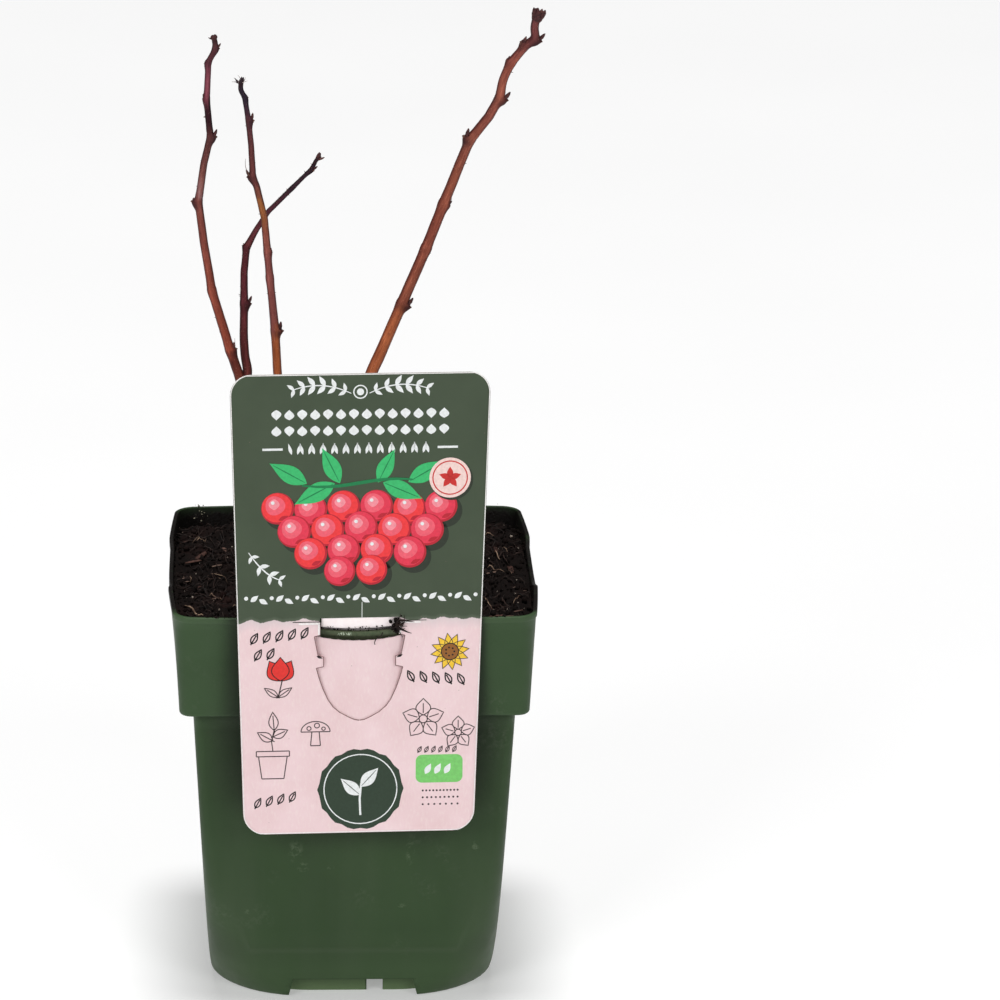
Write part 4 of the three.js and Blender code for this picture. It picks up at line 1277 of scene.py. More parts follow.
# %% Bark finish
STREAK_TINT = (0.36, 0.28, 0.34)
BLEACHED_TINT = (1.75, 1.9, 1.9)
PAINTED_FLANK_SHADE_TINT = (0.32, 0.27, 0.33)
SCAR_PALE = srgb(206, 160, 134)
NODE_DARK = srgb(50, 28, 32)
GRIME = srgb(40, 24, 26)
BARK_COLOURS = {
    # stops of share of the length, and colour as red, green and blue, from the foot to the tip
    "cane_left": [
        (0, 130, 70, 52), (0.36, 136, 70, 50), (0.39, 120, 58, 46), (0.42, 112, 52, 44),
        (0.44, 160, 78, 58), (0.64, 142, 74, 62), (0.7, 128, 70, 62), (0.715, 150, 106, 104),
        (0.735, 142, 90, 82), (0.75, 130, 78, 70), (0.8, 108, 62, 58), (0.835, 50, 18, 26),
        (0.87, 52, 18, 28), (0.9, 134, 68, 80), (0.94, 126, 62, 76), (0.96, 94, 50, 58),
        (1, 104, 60, 62),
    ],
    "cane_middle": [
        (0, 186, 100, 60), (0.48, 184, 100, 58), (0.52, 152, 86, 80), (0.64, 150, 84, 78),
        (0.7, 152, 84, 68), (0.725, 156, 90, 62), (0.75, 168, 104, 56), (0.765, 132, 76, 54),
        (0.785, 110, 58, 54), (0.9, 100, 54, 56), (0.925, 70, 44, 56), (0.95, 46, 36, 50),
        (1, 44, 34, 46),
    ],
    "cane_right": [
        (0, 188, 108, 64), (0.43, 184, 102, 64), (0.475, 150, 82, 62), (0.6, 148, 78, 62),
        (0.68, 152, 84, 64), (0.75, 146, 82, 66), (0.8, 138, 74, 62), (0.86, 160, 90, 72),
        (0.91, 158, 86, 70), (0.95, 118, 64, 62), (1, 116, 62, 62),
    ],
    "side_cane_lower": [
        (0, 96, 44, 38), (0.6, 94, 38, 44), (1, 88, 38, 44),
    ],
    "side_cane_upper": [
        (0, 100, 44, 46), (0.35, 82, 38, 48), (0.6, 52, 28, 38), (1, 34, 22, 30),
    ],
}

def bark_finish(name, length):
    """Colours by height along the limb, painted shade on its two flanks, with streaks, nodes and scars."""
    finish = Finish(f"bark_on_{name}", Specular_IOR_Level=0.10)
    mixed, levels, place = finish.mixed, finish.levels, finish.value("limb_place")

    def clouds(across, lengthwise, detail, roughness=0.55):
        """Noise in the limb's own place, with its own scale across and along the limb."""
        return finish.noise(1, detail, roughness, finish.stretched(place, (across, across, lengthwise)))

    wander, streaks = clouds(0.5, 0.09, 3), clouds(6, 0.22, 4, 0.65)
    height = levels(finish.axis(place, "Z"), 0, length)
    shifted = finish.maths("ADD", height, levels(wander, 0.3, 0.7, -0.018, 0.018))
    colour = finish.ramp(shifted, *((share, srgb(*tone)) for share, *tone in BARK_COLOURS[name]))
    dark = finish.tinted(colour, STREAK_TINT)
    colour = mixed(levels(streaks, 0.5, 0.76, 0, 0.75), colour, dark)
    colour = mixed(levels(clouds(1.1, 0.05, 2), 0.54, 0.68, 0, 0.5), colour, dark)
    pale = finish.tinted(colour, BLEACHED_TINT)
    colour = mixed(levels(clouds(1.6, 0.11, 3), 0.54, 0.68, 0, 0.7), colour, pale)
    # painted shade: the colour darkens towards both flanks of the limb
    facing = finish.maths("ABSOLUTE", finish.axis(place, "Y"))
    colour = mixed(levels(facing, 0.46, 0.96, 1, 0), colour, finish.tinted(colour, PAINTED_FLANK_SHADE_TINT))
    scars = finish.cells(1, finish.stretched(place, (2.6, 2.6, 0.62)))
    colour = mixed(levels(scars, 0.10, 0.17, 0.6, 0), colour, mixed(0.5, pale, SCAR_PALE))
    nearness = levels(finish.axis(finish.value("limb_look"), "X"), 0.15, 0.85)
    at_node = finish.times(nearness, levels(wander, 0.25, 0.6, 0.45, 0.85))
    colour = mixed(at_node, colour, NODE_DARK)
    colour = mixed(levels(clouds(3, 1.1, 5, 0.7), 0.60, 0.72, 0, 0.7), colour, GRIME)
    finish.set(Base_Color=colour, Roughness=levels(streaks, 0.3, 0.7, 0.46, 0.62))
    finish.bump(streaks, 0.22, 0.8)
    finish.bump(levels(scars, 0.08, 0.2, 1, 0), 0.10, 0.8)
    return finish.material


# %% Canes
ROOT_DEPTH = 5.0
BEND_OVERLAP = 0.8
FORK_FLARE = 1.1


def cane_limb(name, foot, base, tip, stretches):
    """A limb whose first stretch is carried down into the soil by the root depth."""
    length, right_lean, back_lean, side = stretches[0]
    leans = np.tan(np.radians([right_lean, back_lean]))
    start = np.array([*foot, CANE_FOOT]) - ROOT_DEPTH * unit(np.array([*leans, 1.0]))
    whole = [(length + ROOT_DEPTH, right_lean, back_lean, side), *stretches[1:]]
    return Limb(start, base, tip, whole, 1.0, NODE_SIZES[name])


limbs = {name: cane_limb(name, *cane) for name, cane in CANES.items()}
start, _ = limbs["cane_left"].at(SIDE_CANE_AT + ROOT_DEPTH)
for name, (base, tip, stretches) in SIDE_CANE.items():
    limbs[name] = Limb(start, base, tip, stretches, FORK_FLARE, NODE_SIZES.get(name, {}))
    start = limbs[name].path[-1] - BEND_OVERLAP * limbs[name].along[-1]

for seed, (name, limb) in enumerate(limbs.items()):
    limb_piece(name, limb, bark_finish(name, limb.length), seed)


# %% [markdown]
# ## Buds, stalk stubs and stipules
# On each spur sits a blunt bud wrapped in scales, pressed close to the cane. At the spur's end
# the old leaf stalk has left a dry cut knob, and here and there a threadlike stipule stays on. A
# plain cone would read as a thorn, so the bud's radius follows a saw wave: each scale swells to
# its tip and then drops.

# %% Bud shape
BUD_LENGTH = 4.2
BUD_RADIUS = 0.86
BUD_ANGLE = 19.0
BUD_CURL = 0.10
BUD_ROWS, BUD_COLUMNS = 26, 14


def slanted(along, out, degrees):
    """A direction turned away from the limb by an angle."""
    cosine, sine = compass(degrees)
    return unit(along * cosine + out * sine)


def scaled_bud(foot, towards, length, radius, turn):
    """A blunt finger with overlapping scales, which curls a little upwards at its tip.

    Its radius is (1 - u ** 3.5) ** 0.6 * (0.82 + 0.22 * sin(pi u)) * (0.88 + 0.2 * saw) of the
    full one. The saw climbs from 0 to 1 a little over three times along the bud, and twice round
    it, so that the scales stand on a spiral.
    """
    u = np.linspace(0, 1, BUD_ROWS)
    angle = np.linspace(0, 1, BUD_COLUMNS, endpoint=False)
    path = foot + np.outer(u, towards * length) + np.outer(u**2, (0, 0, BUD_CURL * length))
    saw = (3.2 * u[:, None] + 2 * angle[None, :] + turn) % 1.0
    body = (1 - u**3.5) ** 0.6 * (0.82 + 0.22 * np.sin(np.pi * u))
    return tube(path, radius * body[:, None] * (0.88 + 0.2 * saw), BUD_COLUMNS, FRONT)


def leaf_stub(foot, towards, length, radius):
    """What is left of a leaf stalk: a short bar that widens at its foot and at its cut end."""
    u = np.linspace(0, 1, 9)
    path = foot + np.outer(u, towards * length) + np.outer(u**2, (0, 0, 0.2 * length))
    return tube(path, radius * (0.8 + 0.4 * (1 - u) ** 3 + 0.22 * u**4), 10, FRONT)


def stipule(foot, along, out, across, length, bend):
    """A dry thread beside the bud that leans out and curls back."""
    u = np.linspace(0, 1, 16)[:, None]
    rise = along * (length * u)
    sway = out * (0.14 * length * np.sin(2.6 * u)) + across * (bend * length * u**2)
    return tube(foot + rise + sway, 0.20 * (1 - 0.7 * u[:, 0]), 5, FRONT)


# %% [markdown]
# ## The ends of the limbs
# A limb ends in a tight bunch of buds, and no two ends are alike. One formula would make them
# sisters, so a list gives each bud its turn, its lean and its size.

# %% Tips
TIPS = {
    # turn from the right towards the back, lean away from the limb, length and radius of each bud
    "cane_left": [(180, 64, 2.2, 0.32), (0, 6, 1.6, 1), (200, 8, 1.5, 0.95)],
    "cane_middle": [
        (178, 46, 3.4, 0.36), (200, 74, 2.6, 0.26), (0, 8, 2.8, 0.6), (90, 12, 2.6, 0.5),
        (250, 20, 2.4, 0.45),
    ],
    "cane_right": [
        (185, 13, 5.6, 1), (0, 26, 5.8, 1.2), (275, 8, 4.8, 1.4), (90, 10, 4.6, 1.3),
        (10, 44, 4.4, 0.9), (0, 12, 5.4, 1.1), (190, 4, 5, 1.1),
    ],
    "side_cane_upper": [(180, 14, 3, 0.62), (0, 34, 3.2, 0.5), (250, 14, 2.4, 0.7)],
}


def tip_buds(name, limb):
    """The buds round a limb's end, each with its own turn, lean and size."""
    end, along = limb.path[-1], limb.along[-1]
    right_side = unit(np.array([1.0, 0, 0]) - along[0] * along)
    back_side = np.cross(along, right_side)
    made = []
    for turn, lean, length, radius in TIPS[name]:
        cosine, sine = compass(turn)
        out = right_side * cosine + back_side * sine
        foot = end - 0.68 * length * along + 0.35 * limb.tip * out
        made.append(scaled_bud(foot, slanted(along, out, lean), length, radius, turn / 100))
    return made


# %% Buds on every node
THREADS = {
    # limb and which of its nodes: how long the stipule's thread is, and how far it bends aside
    ("cane_left", 0): (3.0, 1.0),
    ("cane_middle", 3): (7.6, 0.05),
    ("cane_right", 2): (3.4, -0.3),
    ("cane_left", 4): (3.0, 0.2),
}
# turn, lean and length of the husks at the withered end
FRAYED = [(150, 50, 2.6), (185, 78, 3.2), (20, 34, 2.2), (300, 60, 2.4), (95, 30, 2.8)]

node_rng = np.random.default_rng(17)
buds, stubs, stipules, tips, withered = [], [], [], [], []
for name, limb in limbs.items():
    for i, (side, place, node_size) in enumerate(limb.nodes):
        if side == "tip":
            bunch = withered if name == "cane_middle" else tips
            bunch.extend(tip_buds(name, limb))
            continue
        centre, along = limb.at(place)
        out = np.array(BUD_SIDES[side], float)
        out = unit(out - along * (out @ along))
        radius = limb.taper(place)
        size = min(1, 0.4 + radius / 3.4) * node_rng.uniform(0.85, 1.1) * node_size**0.6
        foot = centre + (0.75 + 0.3 * node_size) * radius * out + 0.1 * along
        angle = BUD_ANGLE + node_rng.uniform(-6, 8)
        length = (0.45 if (name, i) in BUDLESS else 1.0) * BUD_LENGTH * size
        buds.append(scaled_bud(foot, slanted(along, out, angle), length, BUD_RADIUS * size, i / 3))
        knob = centre + (0.9 + 0.5 * node_size) * radius * out - 0.5 * along
        stubs.append(leaf_stub(knob, slanted(along, out, 48), 1.2 * size, 0.62 * size))
        if (name, i) in THREADS:
            reach, bend_aside = THREADS[name, i]
            start = foot + 0.5 * radius * np.cross(along, out)
            stipules.append(stipule(start, along, out, np.cross(along, out), reach, bend_aside))

fringe = []
end, along = limbs["cane_middle"].path[-1], limbs["cane_middle"].along[-1]
for turn, lean, length in FRAYED:
    out = np.array([*compass(turn), 0.0])
    foot = end - 1.2 * along + 0.6 * out
    fringe.append(stipule(foot, slanted(along, out, lean), out, np.cross(along, out), length, 0.5))

print(len(buds), "buds,", len(tips) + len(withered), "tip buds,", len(stipules), "stipules")


# %% Bud finishes
def bud_finish(name, low, high, tip):
    """Dark scales with a fine grain, paler in patches, and a slight sheen."""
    finish = Finish(name, Roughness=0.6, Specular_IOR_Level=0.2)
    grain = finish.noise(1500, detail=4, roughness=0.6)
    colour = finish.mixed(finish.levels(grain, 0.36, 0.64), low, high)
    patches = finish.levels(finish.noise(420, detail=2), 0.52, 0.68, 0, 0.5)
    finish.set(Base_Color=finish.mixed(patches, colour, tip))
    return finish.bump(grain, 0.18, 0.8).material


bud_scales = bud_finish("bud_scales", srgb(46, 22, 25), srgb(84, 46, 46), srgb(116, 78, 70))
dry_stalk = bud_finish("dry_stalk", srgb(70, 44, 40), srgb(104, 68, 58), srgb(136, 104, 84))
frosted_scales = bud_finish("frosted_scales", srgb(34, 24, 32), srgb(66, 50, 58), srgb(112, 98, 102))
pale_husk = bud_finish("pale_husk", srgb(120, 100, 96), srgb(176, 158, 152), srgb(206, 192, 186))
for name, shapes, finish in (
    ("buds_on_canes", buds, bud_scales), ("tip_buds", tips, bud_scales),
    ("withered_tip", withered, frosted_scales), ("leaf_stalk_stubs", stubs, dry_stalk),
    ("frayed_husks", fringe, pale_husk), ("stipule_threads", stipules, dry_stalk),
):
    piece(name, grids(shapes), finish)

# %% [markdown]
# ## Prickles
# Soft thorns a millimetre long stand all over young wood. They are too small for a form of their
# own, so each is a cone with six sides, and chance spreads them round the limb.

# %% Prickles
PRICKLES_PER_CANE = 16


def prickles(limb, rng, count):
    """Tiny soft thorns, scattered on the limb: cones of four rings that lean upwards."""
    made = []
    for place in rng.uniform(0.3, 0.96, count) * limb.length:
        centre, along = limb.at(place)
        turn = rng.uniform(0, 2 * np.pi)
        across = unit(np.cross(along, FRONT))
        out = across * np.cos(turn) + np.cross(across, along) * np.sin(turn)
        u = np.linspace(0, 1, 4)[:, None]
        path = centre + 0.85 * limb.taper(place) * out + u * slanted(along, out, 78) * rng.uniform(0.7, 1.2)
        made.append(tube(path, 0.26 * (1 - 0.8 * u[:, 0]), 6, FRONT + along))
    return made


thorns = [one for limb in limbs.values() for one in prickles(limb, node_rng, PRICKLES_PER_CANE)]
piece("prickles", grids(thorns), dry_stalk)

# %% [markdown]
# ## The label's card
# The label is a die-cut card of stiff film. A hook hangs over the rim, and the tongue that was cut
# to make it stays in the window. A Boolean could cut the window, but its many small steps are
# easier as a formula: each row of the card runs from an inner edge to an outer edge, and both
# edges are functions of height. The right half is mirrored, welded, and given its thickness.

# %% The card's place
CARD_THICKNESS = 0.6
CARD_TOP = 106.0
CARD_FOOT = -84.3
CARD_TOP_HALF = 51.4
CARD_FOOT_HALF = 46.1
CARD_CORNER = 8.5
CARD_SIDE_SHIFT = 1.5
CARD_STAND_OFF = 78.2
CARD_HEIGHT = 164.0
CARD_TURN = 2.8
CARD_LEAN = 1.3

card_matrix = np.array(
    Matrix.Translation((0, -CARD_STAND_OFF, CARD_HEIGHT))
    @ Matrix.Rotation(np.radians(CARD_TURN), 4, "Z")
    @ Matrix.Rotation(np.radians(90 - CARD_LEAN), 4, "X")
    @ Matrix.Translation((CARD_SIDE_SHIFT, 0, -CARD_THICKNESS))
)


def on_card(shape):
    """A shape in the card's own frame, x across, y up and z to the front, set where it hangs."""
    points, faces = shape
    return points @ card_matrix[:3, :3].T + card_matrix[:3, 3], faces


# %% Edges of the card
WINDOW_EDGE = [
    # half width and height, from the top of the slot down to the foot of the tongue
    (0, 5.83), (15.7, 5.8), (15.7, 4.53), (26.6, 4.5), (26.6, 4.1), (15.7, 4.07), (15.7, -1.2),
    (17.9, -1.8), (16.4, -9.8), (14.2, -10.3), (14.2, -14.3), (17.1, -14.9), (16, -19),
    (14.5, -23.5), (12.4, -28.3), (10.4, -31.2), (7.7, -33.6), (4.2, -35.6), (1.8, -36.7), (0, -37),
]
CARD_COLUMNS = 26


def card_edge(y):
    """Half width: a straight taper, less corner * (1 - sqrt(1 - (1 - t) ** 2)), a quarter circle."""
    share = (y - CARD_FOOT) / (CARD_TOP - CARD_FOOT)
    straight = CARD_FOOT_HALF + (CARD_TOP_HALF - CARD_FOOT_HALF) * share
    near = np.clip(np.minimum(y - CARD_FOOT, CARD_TOP - y) / CARD_CORNER, 0, 1)
    return straight - CARD_CORNER * (1 - np.sqrt(1 - (1 - near) ** 2))


def window_edge(y):
    """Half width of the window at a height, 0 where there is none."""
    half, height = np.array(WINDOW_EDGE)[::-1].T
    return np.interp(y, height, half, left=0, right=0)


def card_rows():
    """The heights of the card's rows: dense in its corners, and one at each bend of the window."""
    corner = CARD_CORNER * np.linspace(0, 1, 9) ** 2
    even = np.linspace(CARD_FOOT + CARD_CORNER, CARD_TOP - CARD_CORNER, 80)
    rows = [CARD_FOOT + corner, CARD_TOP - corner, even, np.array(WINDOW_EDGE)[:, 1]]
    return np.unique(np.concatenate(rows).round(4))


def card_sheet():
    """Both halves of the card's front: x = inner + (outer - inner) * s, and its mirror image."""
    y = card_rows()[:, None]
    inner, outer = window_edge(y), card_edge(y)
    x = inner + (outer - inner) * np.linspace(0, 1, CARD_COLUMNS)
    y = y + 0 * x
    z = np.full_like(x, CARD_THICKNESS)
    return joined(surface(np.stack([hand * x, y, z], axis=-1), closed=False) for hand in (1, -1))


# %% Card finish
FIELD_GREEN = srgb(62, 75, 56)
FIELD_GREEN_LIGHT = srgb(70, 83, 63)
FIELD_EDGE_PALE = srgb(120, 128, 112)
PAPER_PINK = srgb(239, 212, 215)
PAPER_PINK_DEEP = srgb(232, 202, 204)
PAPER_FIBRE = srgb(246, 234, 228)
PAPER_SHADE = srgb(205, 196, 198)
SPECK_BROWN = srgb(120, 100, 92)
# the height, on the card, at which the dark field ends in a ragged line
FIELD_EDGE = 4.9


def wavy_edge(finish, place, height):
    """How far a place is above a ragged line at this height, in millimetres."""
    x, y = (finish.axis(place, name) for name in "XY")
    only_x = finish.add("ShaderNodeCombineXYZ", {"X": x}).outputs["Vector"]
    broad = finish.levels(finish.noise(0.11, detail=1, vector=only_x), 0.3, 0.7, -1.2, 1.2)
    fine = finish.levels(finish.noise(0.9, detail=3, vector=only_x), 0.3, 0.7, -0.2, 0.2)
    line = finish.maths("ADD", finish.maths("ADD", broad, fine), height)
    return finish.maths("SUBTRACT", y, line)


def card_front():
    """A dark green field over a pink paper ground, with faint fibres, smudges and specks."""
    finish = Finish("printed_card", Specular_IOR_Level=0.3)
    mixed, levels, noise, place = finish.mixed, finish.levels, finish.noise, finish.value("card_place")
    clouds = levels(noise(0.045, vector=place), 0.35, 0.65)
    ground = mixed(clouds, PAPER_PINK_DEEP, PAPER_PINK)
    fibres_in_paper = noise(1.2, detail=4, vector=finish.stretched(place, (1.0, 0.35, 1.0)))
    ground = mixed(levels(fibres_in_paper, 0.5, 0.75, 0, 0.3), ground, PAPER_FIBRE)
    rise = wavy_edge(finish, place, FIELD_EDGE)
    ground = mixed(levels(rise, -4.5, 0, 0, 0.6), ground, PAPER_SHADE)
    green = mixed(levels(clouds, 0, 1, 0, 0.5), FIELD_GREEN, FIELD_GREEN_LIGHT)
    green = mixed(levels(rise, 0, 1.6, 0.35, 0), green, FIELD_EDGE_PALE)
    colour = mixed(levels(rise, -0.08, 0.08), ground, green)
    specks = finish.cells(0.14, vector=place)
    colour = mixed(levels(specks, 0.02, 0.035, 0.5, 0), colour, SPECK_BROWN)
    finish.set(Base_Color=colour, Roughness=levels(noise(0.4, vector=place), 0.3, 0.7, 0.34, 0.46))
    finish.bump(noise(2.2, detail=2, vector=place), 0.02, 0.4)
    return finish.material


def sheet_piece(name, shape, finish, thickness, replaces=()):
    """A sheet in the card's frame, thickened to the back, its cut edges in the core's white."""
    made = piece(name, on_card(shape), finish, replaces, values={"card_place": shape[0]})
    if made.data.polygons[len(made.data.polygons) // 2].normal.y > 0:
        made.data.flip_normals()
    made.data.materials.append(card_edge_finish)
    solid = made.modifiers.new("thickness", "SOLIDIFY")
    solid.thickness = thickness * MILLIMETRE
    solid.offset = -1.0
    solid.material_offset_rim = 1
    return made


card_print = card_front()
# the white core of the film, seen along every cut edge
card_edge_finish = two_tones(
    "card_core", (500, 2), (0.4, 0.7), srgb(222, 218, 212), srgb(240, 238, 234),
    relief=((1200,), 0.03), Roughness=0.6,
)
sheet_piece("label_sheet", card_sheet(), card_print, CARD_THICKNESS, ["label"])


# %% [markdown]
# ## Tongue and hook
# The tongue hangs behind the window and leans back at its top. The hook is the strip above the
# slot: it passes over the rim and goes down on the soil side.

# %% Tongue
TONGUE_TOP = -1.8
TONGUE_FOOT = -39.0
TONGUE_SAG = 2.2
TONGUE_EDGE = [
    # half width and height, from the top down
    (18.9, -1.8), (18.9, -16), (13.8, -30), (10.2, -34.6), (5.6, -37.6), (2, -38.8), (0, -39),
]
TONGUE_SET_BACK = 1.35
TONGUE_FOOT_FRONT = 0.35
TONGUE_COLUMNS = 33
CREASE_HEIGHT = 0.16
CREASE_HALF = 0.6
CREASE_SLANT = 0.387
CREASE_SHIFT = 7.55
CREASE_FOOT = -20


def tongue_sheet():
    """Rows across the tongue, which falls back towards its top, with a faint crease.

    The crease runs along x = -0.387 y - 7.55, down to y = -20, and is as high as
    0.16 * exp(-(d / 0.6) ** 2) at a distance d across from that line.
    """
    half, height = np.array(TONGUE_EDGE)[::-1].T
    y = np.linspace(TONGUE_FOOT, TONGUE_TOP, 48)[:, None]
    v = np.linspace(-1, 1, TONGUE_COLUMNS)[None, :]
    x = np.interp(y, height, half) * v
    share = (y - TONGUE_FOOT) / (TONGUE_TOP - TONGUE_FOOT)
    dropped = y - TONGUE_SAG * (1 - v**2) * share**6
    beside_crease = (x + CREASE_SLANT * y + CREASE_SHIFT) / CREASE_HALF
    crease = CREASE_HEIGHT * np.exp(-(beside_crease**2)) * (y > CREASE_FOOT)
    z = TONGUE_FOOT_FRONT - TONGUE_SET_BACK * share + crease - 1.3 * share * v**4
    return surface(np.stack([x, dropped, z + 0 * x], axis=-1), closed=False)


sheet_piece("label_tongue", tongue_sheet(), card_print, 0.4)

# %% Hook
HOOK_HALF = 15.1
HOOK_ROUTE = [
    # how far in front of the card's back, and height: down to the rim, over it, and down behind it
    (0.3, 6.6), (-0.05, 6), (-0.9, 4.2), (-1.7, 2.6), (-2.3, 1.6), (-3.3, 1.1), (-4.6, 1),
    (-5.8, 0.6), (-6.5, -0.6), (-6.75, -2.6), (-6.8, -6.8),
]


def hook_sheet():
    """The strip carried along its route; its middle sinks by 1 mm where it crosses the rim's dip."""
    back, up = smooth_line(np.array([(z, y, 0) for z, y in HOOK_ROUTE]), 6)[:, :2].T
    v = np.linspace(-1, 1, 25)
    sink = 1.0 * (1 - v**2)[None, :] * np.exp(-(((back[:, None] + 3.6) / 2.0) ** 2))
    x = np.broadcast_to(HOOK_HALF * v, sink.shape)
    y = up[:, None] - sink
    return surface(np.stack([x, y, back[:, None] + 0 * x], axis=-1), closed=False)


HOOK_WHITE = srgb(255, 246, 246)
HOOK_PINK = srgb(246, 230, 230)
HOOK_SOILED = srgb(104, 82, 70)


def hook_finish():
    """The bare strip behind the print: pinkish white, smudged by soil towards its lower end."""
    finish = Finish("hook_strip", Roughness=0.5, Specular_IOR_Level=0.3)
    place = finish.value("card_place")
    smudges = finish.noise(0.5, detail=4, vector=place)
    clean = finish.mixed(finish.levels(smudges, 0.35, 0.65, 0, 0.4), HOOK_WHITE, HOOK_PINK)
    low = finish.levels(finish.axis(place, "Y"), -0.8, 1.2, 0.25, 0)
    soiled = finish.times(low, finish.levels(smudges, 0.45, 0.6))
    finish.set(Base_Color=finish.mixed(soiled, clean, HOOK_SOILED))
    return finish.bump(finish.noise(1.4, detail=2, vector=place), 0.03, 0.4).material


sheet_piece("label_hook", hook_sheet(), hook_finish(), 0.35)


# %% [markdown]
# ## Printing
# Print is ink that sits on the card. A picture file could carry it, but drawn shapes stay sharp
# at any distance. Two helpers are enough: a patch is a flat shape round its middle, and a stroke
# is a line with a width. Each shape is closed, about a tenth of a millimetre thick and mostly sunk
# into the card, and keeps its ink's colour at its points. Later inks lie slightly higher.

# %% Patches and strokes
INK = 0.02
LAYER = 0.006
SUNK = 0.10
ink_shapes = []


def printed(shape, colour):
    """Keeps a shape together with its ink."""
    points, faces = shape
    ink_shapes.append((points, faces, np.tile(colour, (len(points), 1))))


def levels_of(layer):
    """The top of a layer of ink, and where its sides end inside the card."""
    return CARD_THICKNESS + INK + LAYER * layer, CARD_THICKNESS - SUNK


def patch(x, y, colour, layer=0):
    """A plate round its middle: middle, outline above, outline below, middle."""
    x, y = np.asarray(x, float), np.asarray(y, float)
    top, foot = levels_of(layer)
    middle = np.full_like(x, x.mean()), np.full_like(y, y.mean())
    rows = [(*middle, top), (x, y, top), (x, y, foot), (*middle, foot)]
    grid = np.stack([np.stack([a, b, np.full_like(x, level)], axis=-1) for a, b, level in rows])
    printed(surface(grid), colour)


def stroke(x, y, width, colour, layer=0, tapered=0.0):
    """A line with a width: each point of the line becomes four corners square to it."""
    line = np.column_stack([x, y]).astype(float)
    along = unit(np.gradient(line, axis=0))
    square = np.column_stack([-along[:, 1], along[:, 0]])
    u = np.linspace(-1, 1, len(line))[:, None]
    half = 0.5 * width * (1 - tapered * u**2)
    left, right = line + half * square, line - half * square
    top, foot = levels_of(layer)
    corners = [(left, foot), (left, top), (right, top), (right, foot)]
    body = np.stack([np.column_stack([side, np.full(len(line), z)]) for side, z in corners], axis=1)
    caps = [np.tile([*line[end], (top + foot) / 2], (1, 4, 1)) for end in (0, -1)]
    printed(surface(np.concatenate([caps[0], body, caps[1]])), colour)


# %% Circles, leaves and boxes
def circle(x, y, radius, colour, layer=0, wobble=0, lobes=5):
    """A disc whose radius may wave: radius * (1 + wobble * cos(lobes * a))."""
    angle = np.linspace(0, 2 * np.pi, 40, endpoint=False)
    r = radius * (1 + wobble * np.cos(lobes * angle))
    patch(x + r * np.cos(angle), y + r * np.sin(angle), colour, layer)


def loop(x, y, radius, width, colour, layer=0):
    """A drawn ring."""
    angle = np.linspace(0, 2.02 * np.pi, 44)
    stroke(x + radius * np.cos(angle), y + radius * np.sin(angle), width, colour, layer)


def leaf_outline(x, y, heading, length, width):
    """A leaf from its stalk to its tip: half width = width / 2 * sin(pi t ** 0.8) ** 1.15."""
    t = np.concatenate([np.linspace(0, 1, 16), np.linspace(1, 0, 16)[1:-1]])
    hand = np.where(np.arange(len(t)) < 16, 1, -1)
    across = hand * width / 2 * np.sin(np.pi * t**0.8) ** 1.15
    along = length * t
    cosine, sine = compass(heading)
    return x + along * cosine - across * sine, y + along * sine + across * cosine


def ray(x, y, heading, shares, length):
    """Points from a place in a direction, at these shares of a length."""
    reach = np.asarray(shares) * length
    cosine, sine = compass(heading)
    return x + reach * cosine, y + reach * sine


def leaf(x, y, heading, length, width, colour, layer=0, vein=None):
    """A filled leaf, with a vein down its middle where a second ink is given."""
    patch(*leaf_outline(x, y, heading, length, width), colour, layer)
    if vein is not None:
        stroke(*ray(x, y, heading, (0.05, 0.5, 0.9), length), 0.07 * width, vein, layer + 1, 0.5)


def outlined(outline, line, colour, layer=0):
    """A closed drawn line round an outline."""
    stroke(*(np.append(one, one[:2]) for one in outline), line, colour, layer)


def straight_lines(route, width, colour):
    """A route with sharp corners, as one stroke for each of its stretches."""
    for start, end in zip(route[:-1], route[1:]):
        stroke(*np.array([start, end]).T, width, colour)


def drawn_leaf(x, y, heading, length, width, line, colour):
    """A leaf as a drawn outline, with a line for its stalk and vein."""
    outlined(leaf_outline(x, y, heading, length, width), line, colour)
    stroke(*ray(x, y, heading, (-0.12, 0.4, 0.8), length), line, colour)


def rounded_box(x, y, half_wide, half_high, radius, colour):
    """A rectangle with round corners: four quarter circles."""
    turn = np.linspace(0, np.pi / 2, 10)[None, :] + np.arange(4)[:, None] * np.pi / 2
    side, rise = np.array([(1, 1), (-1, 1), (-1, -1), (1, -1)])[:, :, None].transpose(1, 0, 2)
    xs = x + side * (half_wide - radius) + radius * np.cos(turn)
    ys = y + rise * (half_high - radius) + radius * np.sin(turn)
    patch(xs.ravel(), ys.ravel(), colour)


# %% Inks
WHITE_INK = srgb(238, 242, 242)
CUT_WHITE = srgb(206, 212, 206)
SHADOW_INK = srgb(44, 52, 40)
BERRY_DEEP = srgb(190, 32, 50)
BERRY_RED = srgb(244, 58, 62)
BERRY_ROSE = srgb(232, 56, 82)
BERRY_PINK = srgb(244, 98, 116)
BERRY_LIGHT = srgb(250, 150, 162)
LEAF_GREEN = srgb(58, 190, 112)
LEAF_DEEP = srgb(24, 130, 76)
PAPER_INK = srgb(248, 218, 212)
STICKER_RED = srgb(206, 48, 46)
TULIP_RED = srgb(230, 50, 44)
LINE_INK = srgb(66, 54, 56)
BLACK_INK = srgb(26, 20, 22)
SUN_YELLOW = srgb(250, 206, 60)
SUN_BROWN = srgb(150, 96, 40)
BADGE_GREEN = srgb(44, 62, 46)
PILL_GREEN = srgb(126, 208, 112)


# %% Painted shadow in the cuts, and border
CUT_SHADOW_INK = srgb(126, 92, 92)
BARE_EDGE = srgb(244, 242, 240)


